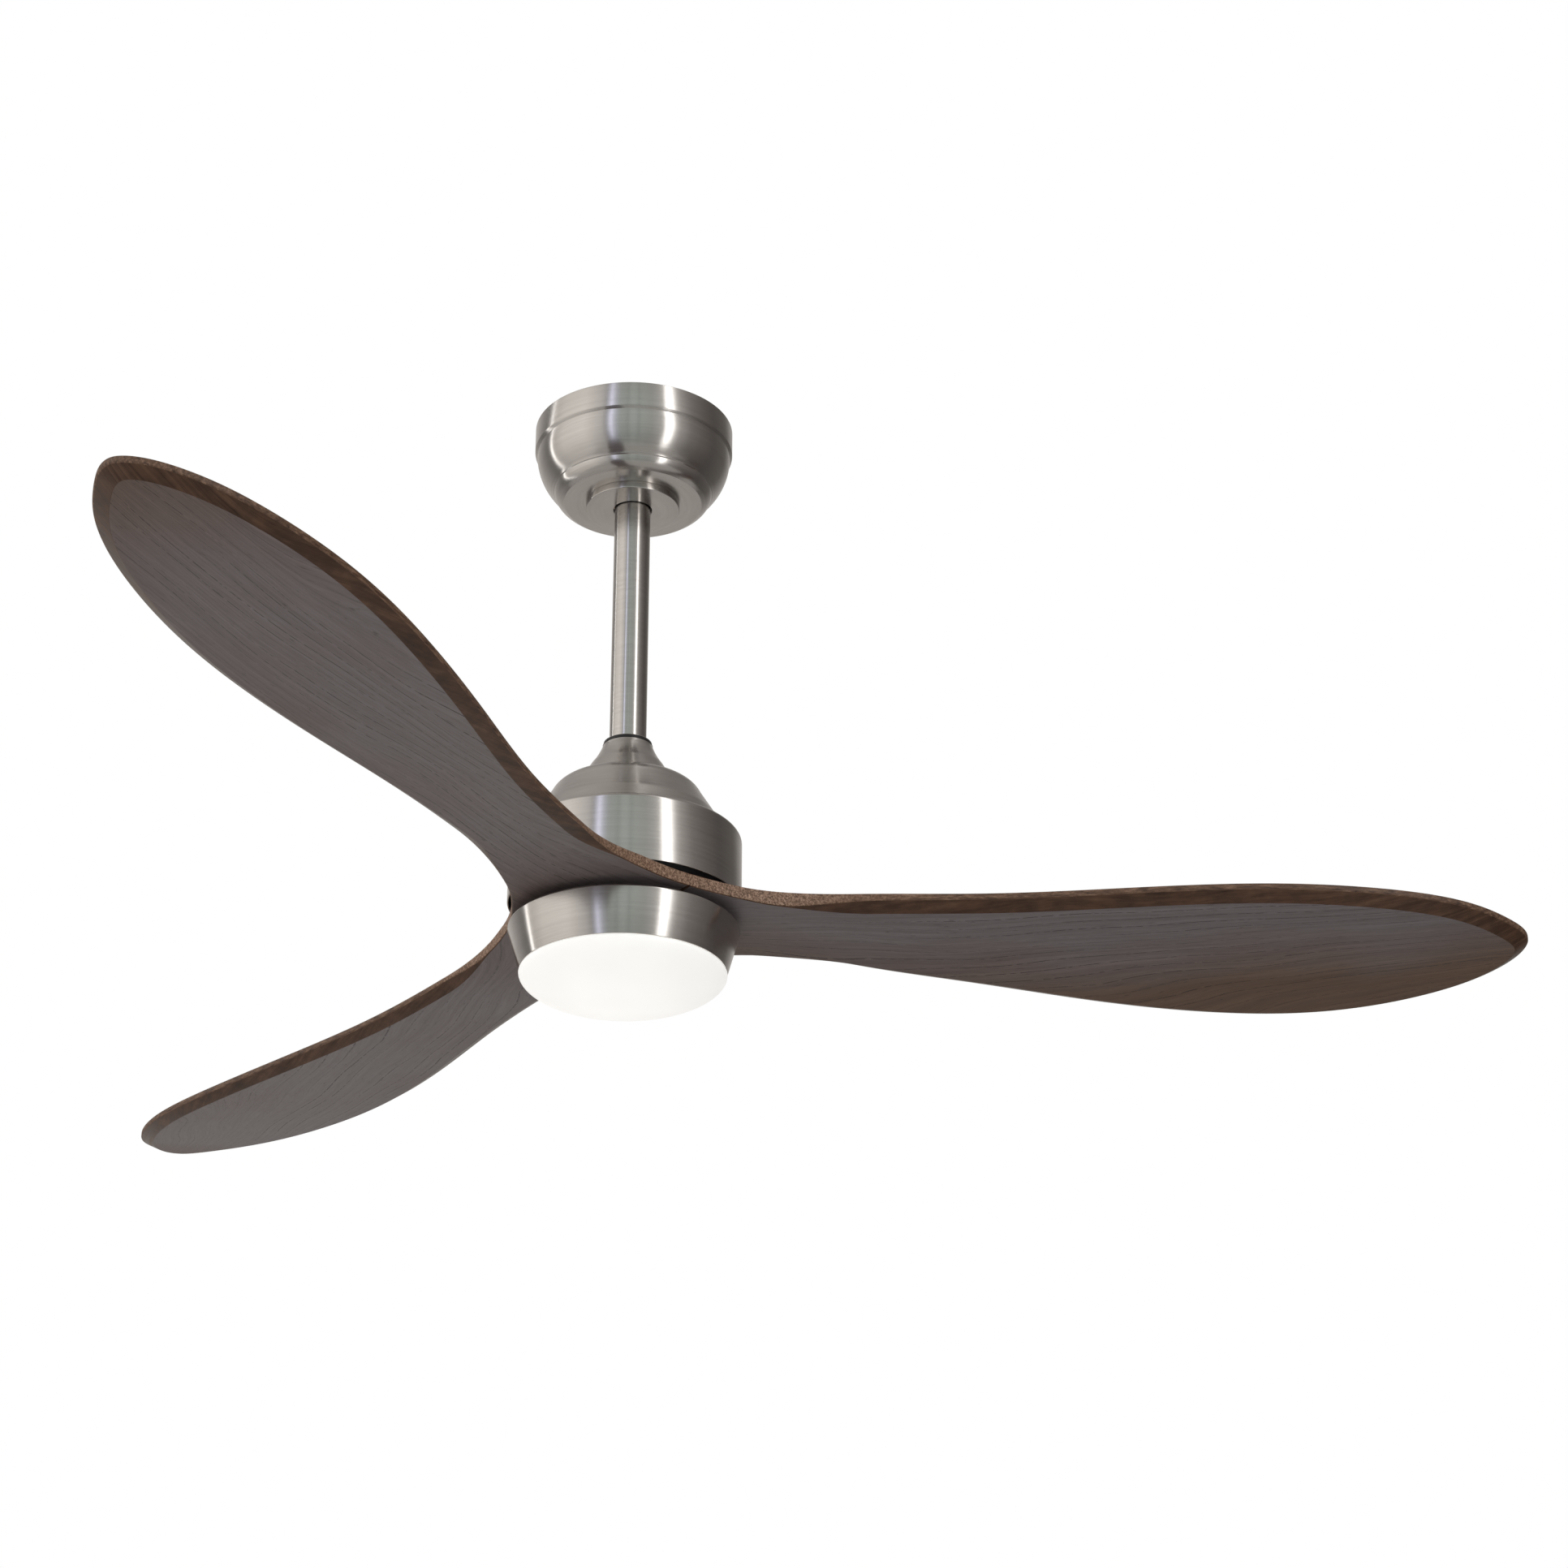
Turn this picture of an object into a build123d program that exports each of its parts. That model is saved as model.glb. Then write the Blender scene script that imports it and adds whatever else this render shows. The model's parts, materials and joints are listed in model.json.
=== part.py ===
from build123d import *
import math
import os

# Ceiling fan with light: three carved wooden blades, downrod, ball hanger, hidden motor and LED light.
# Units are millimetres. The origin is on the ceiling plane, on the fan's axis; +Z is up.
# Blade 1 lies along +X, and the blades turn clockwise seen from above, raised edge first.

# ---------------------------------------------------------------- driving dimensions
SPAN_R = 660.0            # half of the 1320 mm (52 in) sweep
BLADES = 3
ROD_R = 13.35             # 3/4 in steel pipe, 26.7 mm outside
ROD_BORE = 10.5
ROD_LENGTH = 254.0        # 10 in downrod
ROD_TOP = -32.0
CABLE_R = 2.6
CABLE_OFFSET = 6.8        # the cable passes beside the cross pins

CANOPY_R = 74.0
CANOPY_BAND = 19.4        # height of the straight band at the ceiling
CANOPY_BOTTOM = -61.0
SHEET = 1.2               # thickness of the spun metal covers
COLLAR_R = 35.0
COLLAR_BOTTOM = -66.6
CANOPY_SCREW_R = 27.0

PLATE_LENGTH = 110.0      # ceiling plate of the bracket
PLATE_WIDTH = 36.0
PLATE_T = 2.5
OUTLET_SPACING = 88.9     # 3 1/2 in ceiling box screws
SLOT_LENGTH = 12.0
SLOT_R = 2.6
WIRE_SLOT_PLACE = (4, 12)  # the house wires come through beside the plate's centre
WIRE_SLOT_SIZE = (24, 8)
GROUND_SCREW_PLACE = (-22, 12)
LEG_X = 33.0              # inner face of each bracket leg

BALL_Z = -40.0
BALL_R = 24.0
BALL_FIT = 0.06
SADDLE_TOP = -47.0
SADDLE_BOTTOM = -58.0
SADDLE_R = 33.0
SADDLE_GAP = 28.0         # side opening that the rod slides in through

COVER_TOP = -263.3
DOME_TOP = -296.0
BOARD_Z = DOME_TOP - 12.4  # upper face of the motor's control board
SKIRT_Z = -337.0          # where the cap tucks into the band
BAND_R = 83.0
BAND_BOTTOM = -388.0
BAND_SHOULDER = 3.5

COUPLING_R = 16.4
COUPLING_TOP = -267.0
FLANGE_R = 27.0
FLANGE_T = 3.5
CAP_SCREW_PCR = 21.5
PIN_Z = -277.0
SET_SCREW_Z = -283.0

SHAFT_R = 7.5
SHAFT_BORE = 4.8
SHAFT_TOP = -294.0
SHAFT_SHOULDER_R = 10.5
SHAFT_BOTTOM = -424.0

BEARING_W = 11.0          # 15 x 35 x 11 deep-groove bearings
BEARING_R = 17.5
BEARING_ZS = (-332.0, -385.0)
BALL_COUNT = 9
BALL_RING_R = 12.5
BEARING_BALL_R = 2.2
RACE_IN_R = 10.2
RACE_OUT_R = 14.8

STATOR_R = 62.0
STATOR_Z = -366.0
STATOR_H = 18.0
STATOR_TEETH = 12
MAGNETS = 16
MAGNET_IN = 63.0
MAGNET_OUT = 66.5
ROTOR_R = 70.5
ROTOR_TOP = -336.0
ROTOR_SPLIT = -354.0
ROTOR_FLOOR = -378.0

ROOT_TOP = -391.0         # upper face of the blade roots
BLADE_T = 9.5
ROOT_R = 80.0             # where two neighbouring blades meet at their joint line
ROOT_INNER_R = 24.0
ROOT_BEND = 78.0          # the twist begins here
DISH = 7.0                # how far the middle of a blade hangs below its root
TIP_RISE = 12.5
TWIST = 0.18              # tangent of the full blade pitch
TWIST_RUN = 66.0          # the pitch builds up over this length
EDGE_LAG = 18.0           # the underside starts its twist this much later
BLADE_SCREW_R = 46.0
BLADE_SCREW_SPREAD = 30.0
CLAMP_R = 62.0
CLAMP_T = 2.0

PAN_TOP = -406.5
PAN_BOTTOM = -439.7
PAN_TOP_R = 82.0
PAN_BOTTOM_R = 73.2
DIFFUSER_R = 73.4
DIFFUSER_DEPTH = 20.6
DIFFUSER_WALL = 2.0
NECK_R = 67.4
RING_IN_R = 70.9
LUG_ARC = 24.0
TAB_ARC = 26.0
LED_Z = -428.0
LED_R = 60.0
STANDOFF_PCR = 48.0

os.makedirs("parts", exist_ok=True)


def save(part, name):
    part.label = name
    export_step(part, f"parts/{name}.step")


def ring(low, high, inner, outer):
    """A plain ring or, with inner 0, a disc between two heights."""
    with BuildPart() as made:
        with BuildSketch(Plane.XY.offset(low)):
            Circle(outer)
            if inner:
                Circle(inner, mode=Mode.SUBTRACT)
        extrude(amount=high - low)
    return made


# ---------------------------------------------------------------- ceiling bracket
with BuildPart() as mounting_bracket:
    with BuildSketch(Plane.XY.offset(-PLATE_T)):
        RectangleRounded(PLATE_LENGTH, PLATE_WIDTH, 6)
        with Locations((-OUTLET_SPACING / 2, 0), (OUTLET_SPACING / 2, 0)):
            SlotOverall(SLOT_LENGTH, 2 * SLOT_R, mode=Mode.SUBTRACT)
        with Locations(WIRE_SLOT_PLACE):
            SlotOverall(*WIRE_SLOT_SIZE, mode=Mode.SUBTRACT)
    extrude(amount=PLATE_T)
    with BuildSketch(Plane.XY.offset(SADDLE_TOP)):
        with Locations((-LEG_X - PLATE_T / 2, 0), (LEG_X + PLATE_T / 2, 0)):
            Rectangle(PLATE_T, 30)
    extrude(amount=-SADDLE_TOP - PLATE_T)
    with BuildSketch(Plane.XY.offset(SADDLE_BOTTOM)):
        Circle(SADDLE_R + PLATE_T)
        with Locations((0, SADDLE_R)):
            Rectangle(SADDLE_GAP, 2 * SADDLE_R, mode=Mode.SUBTRACT)
    extrude(amount=SADDLE_TOP - SADDLE_BOTTOM)
    with Locations((0, 0, BALL_Z)):
        Sphere(BALL_R + BALL_FIT, mode=Mode.SUBTRACT)
    with BuildSketch(Plane.XY.offset(SADDLE_BOTTOM)):
        with PolarLocations(CANOPY_SCREW_R, 2, start_angle=-35, angular_range=-110, endpoint=True):
            Circle(2.05)
    extrude(amount=SADDLE_TOP - SADDLE_BOTTOM, mode=Mode.SUBTRACT)
    with BuildSketch(Plane.XY.offset(-PLATE_T)):
        with Locations(GROUND_SCREW_PLACE):
            Circle(2.05)
    extrude(amount=PLATE_T, mode=Mode.SUBTRACT)
save(mounting_bracket.part, "mounting_bracket")

with BuildPart() as ground_screw:
    with BuildSketch(Plane.XY.offset(-PLATE_T - 2.4)):
        with Locations(GROUND_SCREW_PLACE):
            RegularPolygon(4.2, 6)
    extrude(amount=2.4)
    with BuildSketch(Plane.XY.offset(-PLATE_T)):
        with Locations(GROUND_SCREW_PLACE):
            Circle(2.0)
    extrude(amount=PLATE_T)
save(ground_screw.part, "ground_screw")

with BuildPart() as receiver:
    with BuildSketch(Plane.XY.offset(-16.5)):
        with Locations((0, -6)):
            RectangleRounded(58, 24, 3)
    extrude(amount=10)
    fillet(receiver.edges().group_by(Axis.Z)[0], 1.5)
save(receiver.part, "receiver")

with BuildPart() as wire_connectors:
    for x in (-15, 0, 15):
        with BuildSketch(Plane.XY.offset(-24)):
            with Locations((x, 45)):
                Circle(4)
        with BuildSketch(Plane.XY.offset(-6)):
            with Locations((x, 45)):
                Circle(5.8)
        loft()
save(wire_connectors.part, "wire_connectors")

# ---------------------------------------------------------------- canopy
with BuildPart() as canopy:
    with BuildSketch(Plane.XZ):
        with BuildLine():
            rim = Line((CANOPY_R, 0), (CANOPY_R, -CANOPY_BAND))
            step = Line(rim @ 1, (CANOPY_R - 1.8, -CANOPY_BAND - 2.0))
            belly = ThreePointArc(step @ 1, (69.2, -37), (59.8, -51.4))
            lip = ThreePointArc(belly @ 1, (56.8, -56.8), (51, CANOPY_BOTTOM))
            floor = Line(lip @ 1, (17, CANOPY_BOTTOM))
            hole = Line(floor @ 1, (17, CANOPY_BOTTOM + SHEET))
            floor_in = Line(hole @ 1, (50, CANOPY_BOTTOM + SHEET))
            lip_in = ThreePointArc(floor_in @ 1, (55.5, -55.8), (58.5, -51.0))
            belly_in = ThreePointArc(lip_in @ 1, (67.9, -36.8), (71.0, -21.3))
            step_in = Line(belly_in @ 1, (CANOPY_R - SHEET, -CANOPY_BAND + 0.3))
            wall_in = Line(step_in @ 1, (CANOPY_R - SHEET, 0))
            Line(wall_in @ 1, rim @ 0)
        make_face()
    revolve(axis=Axis.Z)
    with BuildSketch(Plane.XY.offset(CANOPY_BOTTOM)):
        with PolarLocations(CANOPY_SCREW_R, 2, start_angle=-35, angular_range=-110, endpoint=True):
            Circle(2.3)
    extrude(amount=SHEET, mode=Mode.SUBTRACT)
save(canopy.part, "canopy")

with BuildPart() as canopy_screws:
    with BuildSketch(Plane.XY.offset(CANOPY_BOTTOM - 2.6)):
        with PolarLocations(CANOPY_SCREW_R, 2, start_angle=-35, angular_range=-110, endpoint=True):
            Circle(3.8)
    extrude(amount=2.6)
    with BuildSketch(Plane.XY.offset(CANOPY_BOTTOM)):
        with PolarLocations(CANOPY_SCREW_R, 2, start_angle=-35, angular_range=-110, endpoint=True):
            Circle(2.0)
    extrude(amount=12)
save(canopy_screws.part, "canopy_screws")

with BuildPart() as canopy_collar:
    with BuildSketch(Plane.XY.offset(COLLAR_BOTTOM)):
        Circle(COLLAR_R)
    extrude(amount=CANOPY_BOTTOM - COLLAR_BOTTOM)
    fillet(canopy_collar.edges().group_by(Axis.Z)[0], 0.6)
    with BuildSketch(Plane.XY.offset(COLLAR_BOTTOM + SHEET)):
        Circle(COLLAR_R - SHEET)
    extrude(amount=CANOPY_BOTTOM - COLLAR_BOTTOM, mode=Mode.SUBTRACT)
    with BuildSketch(Plane.XY.offset(COLLAR_BOTTOM)):
        Circle(ROD_R + 1.0)
    extrude(amount=SHEET, mode=Mode.SUBTRACT)
save(canopy_collar.part, "canopy_collar")

# ---------------------------------------------------------------- hanger ball and downrod
with BuildPart() as hanger_ball:
    with Locations((0, 0, BALL_Z)):
        Sphere(BALL_R)
    with BuildSketch(Plane.XY.offset(BALL_Z + 16)):
        Circle(BALL_R)
    extrude(amount=BALL_R, mode=Mode.SUBTRACT)
    with BuildSketch(Plane.XY.offset(BALL_Z - 17)):
        Circle(BALL_R)
    extrude(amount=-BALL_R, mode=Mode.SUBTRACT)
    with BuildSketch(Plane.XY.offset(BALL_Z - BALL_R)):
        Circle(ROD_R + 0.05)
    extrude(amount=2 * BALL_R, mode=Mode.SUBTRACT)
    with BuildSketch(Plane.YZ.offset(-BALL_R)):
        with Locations((0, BALL_Z)):
            Circle(3.05)
    extrude(amount=2 * BALL_R, mode=Mode.SUBTRACT)
    with BuildSketch(Plane.XZ):
        with Locations((0, BALL_Z + 8)):
            Circle(2.05)
    extrude(amount=BALL_R, mode=Mode.SUBTRACT)
save(hanger_ball.part, "hanger_ball")

with BuildPart() as ball_pin:
    with BuildSketch(Plane.YZ.offset(-20)):
        with Locations((0, BALL_Z)):
            Circle(3.0)
    extrude(amount=40)
save(ball_pin.part, "ball_pin")

with BuildPart() as ball_set_screw:
    with BuildSketch(Plane.XZ.offset(ROD_R + 0.05)):
        with Locations((0, BALL_Z + 8)):
            Circle(2.0)
            RegularPolygon(1.1, 6, mode=Mode.SUBTRACT)
    extrude(amount=7)
save(ball_set_screw.part, "ball_set_screw")

with BuildPart() as downrod:
    with BuildSketch(Plane.XY.offset(ROD_TOP - ROD_LENGTH)):
        Circle(ROD_R)
        Circle(ROD_BORE, mode=Mode.SUBTRACT)
    extrude(amount=ROD_LENGTH)
    for height in (BALL_Z, PIN_Z):
        with BuildSketch(Plane.YZ.offset(-ROD_R - 1)):
            with Locations((0, height)):
                Circle(3.05)
        extrude(amount=2 * ROD_R + 2, mode=Mode.SUBTRACT)
save(downrod.part, "downrod")

with BuildPart() as lead_cable:
    with BuildLine(Plane.YZ) as route:
        FilletPolyline(
            (CABLE_OFFSET, ROD_TOP + 12),
            (CABLE_OFFSET, PIN_Z - 5),
            (0, SHAFT_TOP - 2),
            (0, SHAFT_BOTTOM + 4),
            radius=25,
        )
    with BuildSketch(Plane.XY.offset(ROD_TOP + 12)):
        with Locations((0, CABLE_OFFSET)):
            Circle(CABLE_R)
    sweep(path=route.line)
save(lead_cable.part, "lead_cable")

# ---------------------------------------------------------------- coupling between rod and motor
with BuildPart() as motor_coupling:
    with BuildSketch(Plane.XZ):
        with BuildLine():
            Polyline(
                (ROD_R + 0.05, COUPLING_TOP),
                (COUPLING_R, COUPLING_TOP),
                (COUPLING_R, DOME_TOP - SHEET),
                (FLANGE_R, DOME_TOP - SHEET),
                (FLANGE_R, DOME_TOP - SHEET - FLANGE_T),
                (14, DOME_TOP - SHEET - FLANGE_T),
                (14, SHAFT_TOP - 12),
                (SHAFT_R + 0.05, SHAFT_TOP - 12),
                (SHAFT_R + 0.05, SHAFT_TOP),
                (9, SHAFT_TOP),
                (9, ROD_TOP - ROD_LENGTH),
                (ROD_R + 0.05, ROD_TOP - ROD_LENGTH),
                close=True,
            )
        make_face()
    revolve(axis=Axis.Z)
    with BuildSketch(Plane.YZ.offset(-COUPLING_R - 1)):
        with Locations((0, PIN_Z)):
            Circle(3.05)
    extrude(amount=2 * COUPLING_R + 2, mode=Mode.SUBTRACT)
    with BuildSketch(Plane.XZ.offset(-COUPLING_R - 1)):
        with Locations((0, SET_SCREW_Z)):
            Circle(2.05)
    extrude(amount=2 * COUPLING_R + 2, mode=Mode.SUBTRACT)
    with BuildSketch(Plane.XY.offset(DOME_TOP - SHEET - FLANGE_T)):
        with PolarLocations(CAP_SCREW_PCR, 4, start_angle=45):
            Circle(2.05)
    extrude(amount=FLANGE_T, mode=Mode.SUBTRACT)
save(motor_coupling.part, "motor_coupling")

with BuildPart() as coupling_pin:
    with BuildSketch(Plane.YZ.offset(-19)):
        with Locations((0, PIN_Z)):
            Circle(3.0)
    extrude(amount=38)
    with BuildSketch(Plane.XY.offset(PIN_Z - 4)):
        with Locations((17.7, 0)):
            Circle(0.7)
    extrude(amount=8, mode=Mode.SUBTRACT)
save(coupling_pin.part, "coupling_pin")

with BuildPart() as cotter_clip:
    with BuildSketch(Plane.XY.offset(PIN_Z - 5)):
        with Locations((17.7, 0)):
            Circle(0.6)
    extrude(amount=9)
    with Locations((17.7, 0, PIN_Z + 5.2)):
        Torus(1.6, 0.6, rotation=(0, 90, 0))
save(cotter_clip.part, "cotter_clip")

with BuildPart() as coupling_set_screws:
    for side in (1, -1):
        with BuildSketch(Plane.XZ.offset(side * (ROD_R + 0.05))):
            with Locations((0, SET_SCREW_Z)):
                Circle(2.0)
                RegularPolygon(1.1, 6, mode=Mode.SUBTRACT)
        extrude(amount=side * 5.5)
save(coupling_set_screws.part, "coupling_set_screws")

with BuildPart() as coupling_cover:
    with BuildSketch(Plane.XZ):
        with BuildLine():
            flare = Spline(
                (18.0, COVER_TOP),
                (21.6, COVER_TOP - 8.5),
                (26.4, COVER_TOP - 16),
                (36, DOME_TOP),
                tangents=[(0.12, -1), (0.62, -1)],
            )
            base = Line(flare @ 1, (36 - 1.6, DOME_TOP))
            flare_in = Spline(
                base @ 1,
                (26.4 - 1.3, COVER_TOP - 16.5),
                (21.6 - 1.3, COVER_TOP - 8.8),
                (18.0 - 1.2, COVER_TOP),
                tangents=[(-0.62, 1), (-0.12, 1)],
            )
            Line(flare_in @ 1, flare @ 0)
        make_face()
    revolve(axis=Axis.Z)
save(coupling_cover.part, "coupling_cover")

with BuildPart() as cover_seal:
    with BuildSketch(Plane.XZ):
        with BuildLine():
            Polyline(
                (ROD_R, COVER_TOP - 2.4),
                (16.8, COVER_TOP - 2.4),
                (16.8, COVER_TOP),
                (17.9, COVER_TOP),
                (17.0, COVER_TOP + 2.8),
                (ROD_R, COVER_TOP + 2.8),
                close=True,
            )
        make_face()
    revolve(axis=Axis.Z)
save(cover_seal.part, "cover_seal")

# ---------------------------------------------------------------- motor covers
with BuildPart() as motor_cap:
    with BuildSketch(Plane.XZ):
        with BuildLine():
            top = Line((17, DOME_TOP), (42.5, DOME_TOP))
            shoulder = ThreePointArc(top @ 1, (49.8, DOME_TOP - 2.8), (54.8, DOME_TOP - 9.2))
            slope = Line(shoulder @ 1, (65, -321.5))
            skirt = TangentArc(slope @ 1, (73.5, SKIRT_Z), tangent=slope % 1)
            tuck = Line(skirt @ 1, (73.5, SKIRT_Z - 5))
            hem = Line(tuck @ 1, (73.5 - SHEET, SKIRT_Z - 5))
            tuck_in = Line(hem @ 1, (73.5 - SHEET, SKIRT_Z))
            skirt_in = Line(tuck_in @ 1, (65 - SHEET, -322))
            slope_in = Line(skirt_in @ 1, (55 - SHEET, DOME_TOP - 9.5))
            shoulder_in = ThreePointArc(slope_in @ 1, (49.3, DOME_TOP - 3.5), (43, DOME_TOP - SHEET))
            top_in = Line(shoulder_in @ 1, (17, DOME_TOP - SHEET))
            Line(top_in @ 1, top @ 0)
        make_face()
    revolve(axis=Axis.Z)
    with BuildSketch(Plane.XY.offset(DOME_TOP - SHEET)):
        with PolarLocations(CAP_SCREW_PCR, 4, start_angle=45):
            Circle(2.3)
    extrude(amount=SHEET, mode=Mode.SUBTRACT)
save(motor_cap.part, "motor_cap")

with BuildPart() as cap_screws:
    with BuildSketch(Plane.XY.offset(DOME_TOP)):
        with PolarLocations(CAP_SCREW_PCR, 4, start_angle=45):
            Circle(3.6)
    extrude(amount=2.4)
    with BuildSketch(Plane.XY.offset(DOME_TOP - SHEET - FLANGE_T)):
        with PolarLocations(CAP_SCREW_PCR, 4, start_angle=45):
            Circle(2.0)
    extrude(amount=SHEET + FLANGE_T)
save(cap_screws.part, "cap_screws")

with BuildPart() as motor_band:
    with BuildSketch(Plane.XZ):
        with BuildLine():
            wall = Line((BAND_R, BAND_BOTTOM), (BAND_R, SKIRT_Z - BAND_SHOULDER))
            turn = RadiusArc(wall @ 1, (BAND_R - BAND_SHOULDER, SKIRT_Z), -BAND_SHOULDER)
            ledge = Line(turn @ 1, (BAND_R - BAND_SHOULDER, SKIRT_Z - SHEET))
            inner_turn = RadiusArc(
                ledge @ 1,
                (BAND_R - SHEET, SKIRT_Z - BAND_SHOULDER),
                BAND_SHOULDER - SHEET,
            )
            inner = Line(inner_turn @ 1, (BAND_R - SHEET, BAND_BOTTOM))
            Line(inner @ 1, wall @ 0)
        make_face()
    revolve(axis=Axis.Z)
save(motor_band.part, "motor_band")

# ---------------------------------------------------------------- motor: shaft, bearings and stator
with BuildPart() as motor_shaft:
    with BuildSketch(Plane.XZ):
        with BuildLine():
            Polyline(
                (SHAFT_BORE, SHAFT_TOP),
                (SHAFT_R, SHAFT_TOP),
                (SHAFT_R, BEARING_ZS[1]),
                (SHAFT_SHOULDER_R, BEARING_ZS[1]),
                (SHAFT_SHOULDER_R, PAN_TOP),
                (SHAFT_R, PAN_TOP),
                (SHAFT_R, SHAFT_BOTTOM),
                (SHAFT_BORE, SHAFT_BOTTOM),
                close=True,
            )
        make_face()
    revolve(axis=Axis.Z)
save(motor_shaft.part, "motor_shaft")


def bearing_part(inner, outer):
    """The same race ring in both bearings."""
    with BuildPart() as made:
        for low in BEARING_ZS:
            with BuildSketch(Plane.XY.offset(low)):
                Circle(outer)
                Circle(inner, mode=Mode.SUBTRACT)
            extrude(amount=BEARING_W)
    return made


bearing_inner_races = bearing_part(SHAFT_R + 0.02, RACE_IN_R)
save(bearing_inner_races.part, "bearing_inner_races")
bearing_outer_races = bearing_part(RACE_OUT_R, BEARING_R)
save(bearing_outer_races.part, "bearing_outer_races")

with BuildPart() as bearing_balls:
    for low in BEARING_ZS:
        with Locations(Plane.XY.offset(low + BEARING_W / 2)):
            with PolarLocations(BALL_RING_R, BALL_COUNT):
                Sphere(BEARING_BALL_R)
save(bearing_balls.part, "bearing_balls")

with BuildPart() as stator_core:
    with BuildSketch(Plane.XY.offset(STATOR_Z)):
        Circle(STATOR_R)
        Circle(STATOR_R - 5, mode=Mode.SUBTRACT)
        with PolarLocations(STATOR_R - 2.5, STATOR_TEETH, start_angle=180 / STATOR_TEETH):
            Rectangle(8, 5, mode=Mode.SUBTRACT)
        with PolarLocations((STATOR_R + 24) / 2 - 1, STATOR_TEETH):
            Rectangle(STATOR_R - 28, 9)
        Circle(30)
        Circle(SHAFT_R + 0.02, mode=Mode.SUBTRACT)
    extrude(amount=STATOR_H)
save(stator_core.part, "stator_core")

with BuildPart() as stator_windings:
    with BuildSketch(Plane.XY.offset(STATOR_Z - 4)):
        with PolarLocations(44.0, STATOR_TEETH):
            RectangleRounded(20, 14.5, 3)
    extrude(amount=STATOR_H + 8)
    with BuildSketch(Plane.XY.offset(STATOR_Z - 0.1)):
        with PolarLocations(44.0, STATOR_TEETH):
            Rectangle(24, 9.2)
    extrude(amount=STATOR_H + 0.2, mode=Mode.SUBTRACT)
save(stator_windings.part, "stator_windings")

motor_control_board = ring(BOARD_Z - 1.6, BOARD_Z, 16, 44)
save(motor_control_board.part, "motor_control_board")

with BuildPart() as board_components:
    with BuildSketch(Plane.XY.offset(BOARD_Z)):
        with PolarLocations(33, 3, start_angle=45):
            Circle(5)
    extrude(amount=5)
    with BuildSketch(Plane.XY.offset(BOARD_Z)):
        with PolarLocations(33, 3, start_angle=105):
            Rectangle(9, 14)
    extrude(amount=4)
save(board_components.part, "board_components")

with BuildPart() as board_spacers:
    with BuildSketch(Plane.XY.offset(BOARD_Z)):
        with PolarLocations(22, 3, start_angle=90):
            RegularPolygon(2.6, 6)
    extrude(amount=DOME_TOP - SHEET - FLANGE_T - BOARD_Z)
save(board_spacers.part, "board_spacers")

# ---------------------------------------------------------------- motor: rotor
with BuildPart() as rotor_upper_cover:
    with BuildSketch(Plane.XZ):
        with BuildLine():
            Polyline(
                (BEARING_R + 0.02, BEARING_ZS[0]),
                (BEARING_R + 0.02, BEARING_ZS[0] + BEARING_W),
                (BEARING_R + 3.5, BEARING_ZS[0] + BEARING_W),
                (BEARING_R + 4.5, ROTOR_TOP + 4),
                (ROTOR_R - 6, ROTOR_TOP),
                (ROTOR_R, ROTOR_TOP - 5),
                (ROTOR_R, ROTOR_SPLIT),
                (MAGNET_OUT, ROTOR_SPLIT),
                (MAGNET_OUT, ROTOR_TOP - 7),
                (ROTOR_R - 7.5, ROTOR_TOP - 4),
                (BEARING_R + 5, ROTOR_TOP + 0.5),
                (BEARING_R - 3, BEARING_ZS[0]),
                close=True,
            )
        make_face()
    revolve(axis=Axis.Z)
save(rotor_upper_cover.part, "rotor_upper_cover")

with BuildPart() as rotor_lower_cover:
    with BuildSketch(Plane.XZ):
        with BuildLine():
            Polyline(
                (MAGNET_OUT, ROTOR_SPLIT),
                (ROTOR_R, ROTOR_SPLIT),
                (ROTOR_R, ROTOR_FLOOR),
                (BLADE_SCREW_R + 18, ROTOR_FLOOR - 6),
                (BLADE_SCREW_R + 18, ROOT_TOP),
                (BEARING_R - 5, ROOT_TOP),
                (BEARING_R - 5, BEARING_ZS[1]),
                (BEARING_R + 0.02, BEARING_ZS[1]),
                (BEARING_R + 0.02, BEARING_ZS[1] + BEARING_W),
                (BEARING_R + 4.5, BEARING_ZS[1] + BEARING_W),
                (BEARING_R + 5, ROTOR_FLOOR - 1),
                (ROTOR_R - 9, ROTOR_FLOOR + 3.5),
                (MAGNET_OUT, ROTOR_FLOOR + 8),
                close=True,
            )
        make_face()
    revolve(axis=Axis.Z)
    with BuildSketch(Plane.XY.offset(ROOT_TOP)):
        for turn in range(BLADES):
            with PolarLocations(
                BLADE_SCREW_R,
                3,
                start_angle=360 / BLADES * turn - BLADE_SCREW_SPREAD,
                angular_range=2 * BLADE_SCREW_SPREAD,
                endpoint=True,
            ):
                Circle(2.55)
    extrude(amount=10, mode=Mode.SUBTRACT)
save(rotor_lower_cover.part, "rotor_lower_cover")

with BuildPart() as rotor_magnets:
    for turn in range(MAGNETS):
        with BuildSketch(Plane.XY.offset(STATOR_Z - 1)):
            Circle(MAGNET_OUT - 0.05)
            Circle(MAGNET_IN, mode=Mode.SUBTRACT)
            with Locations(Rotation(0, 0, 360 / MAGNETS * turn)):
                Polygon((0, 0), (80, -14.5), (80, 14.5), align=None, mode=Mode.INTERSECT)
        extrude(amount=STATOR_H + 2)
save(rotor_magnets.part, "rotor_magnets")

# ---------------------------------------------------------------- blades


def top_height(x):
    """Height of a blade's upper face on its centre line."""
    run = max(0.0, (x - ROOT_BEND) / (SPAN_R - ROOT_BEND))
    return ROOT_TOP - DISH * math.sin(math.pi * run) + TIP_RISE * run**3


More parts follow.
